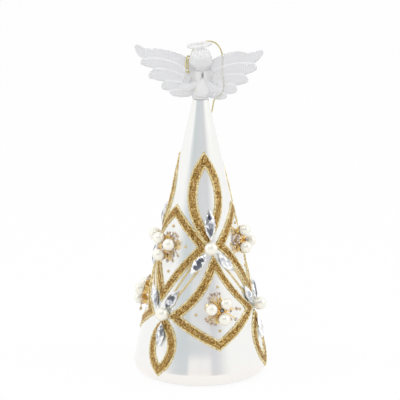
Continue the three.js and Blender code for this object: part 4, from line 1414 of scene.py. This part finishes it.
def white_floor():
    """Paint that takes the shadow, nearly plain white for the camera and for mirrors and glass."""
    bpy.ops.mesh.primitive_plane_add(size=6, location=(0, 0, -floor_drop))
    floor = bpy.context.object
    floor.name = "floor"
    material, start = new_material("white_floor")
    shown = start.math("MAXIMUM", ray(start, "Camera"), ray(start, "Glossy"))
    shown = start.math("MAXIMUM", shown, ray(start, "Transmission"))
    paint = start.node("BsdfDiffuse", {"Color": floor_paint})
    glow = start.node("Emission", {"Color": white, "Strength": 1})
    shader = start.node("MixShader", {0: floor_glow * shown, 1: paint, 2: glow})
    start.node("OutputMaterial", {"Surface": shader})
    floor.data.materials.append(material)


def studio_world():
    """White for the camera and through glass, even light, and the room with its low card for mirrors."""
    world = bpy.data.worlds.new("studio")
    bpy.context.scene.world = world
    world.use_nodes = True
    world.node_tree.nodes.clear()
    start = Wire(world.node_tree)
    aside, back, level = (place_along(start, axis, "Generated") for axis in "XYZ")
    turn = start.math("ARCTAN2", aside, back * -1)

    def soft(value, first, last):
        return faded(start, value, first, last, "SMOOTHSTEP")

    ahead = soft(turn, -1.32, -0.68) * soft(turn, 0.98, 0.42)
    card = soft(turn, -0.42, -0.34) * soft(turn, 0.36, 0.3) * soft(level, 0.15, 0.12)
    wall = mixed(start, soft(turn, -0.5, 0.4), (0.56, 0.61, 0.645), (0.63, 0.63, 0.67))
    room = mixed(start, soft(level, 0.24, 0.42), wall, (0.09, 0.1, 0.12))
    room = mixed(start, card, room, (1, 0.97, 0.95))
    mirrored = mixed(start, ahead, (1, 1, 0.985), room)
    even = start.node("Background", {"Color": white, "Strength": room_light})
    mirror = start.node("Background", {"Color": mirrored, "Strength": 1})
    plain = start.node("Background", {"Color": white, "Strength": 1})
    shown = start.math("MAXIMUM", ray(start, "Camera"), ray(start, "Transmission"))
    shader = start.node("MixShader", {0: ray(start, "Glossy"), 1: even, 2: mirror})
    shader = start.node("MixShader", {0: shown, 1: shader, 2: plain})
    start.node("OutputWorld", {"Surface": shader})


def soft_lamp(name, azimuth, elevation, distance, size, power):
    """A square soft box that looks at the middle of the figure."""
    lamp = new_object(name, bpy.data.lights.new(name, "AREA"))
    look_from(lamp, azimuth, elevation, distance)
    lamp.data.size = size
    lamp.data.energy = power
    lamp.visible_camera = False
    lamp.visible_transmission = False


white_floor()
studio_world()
for name, setting in soft_boxes.items():
    soft_lamp(name, *setting)
bpy.context.scene.view_settings.view_transform = "Standard"
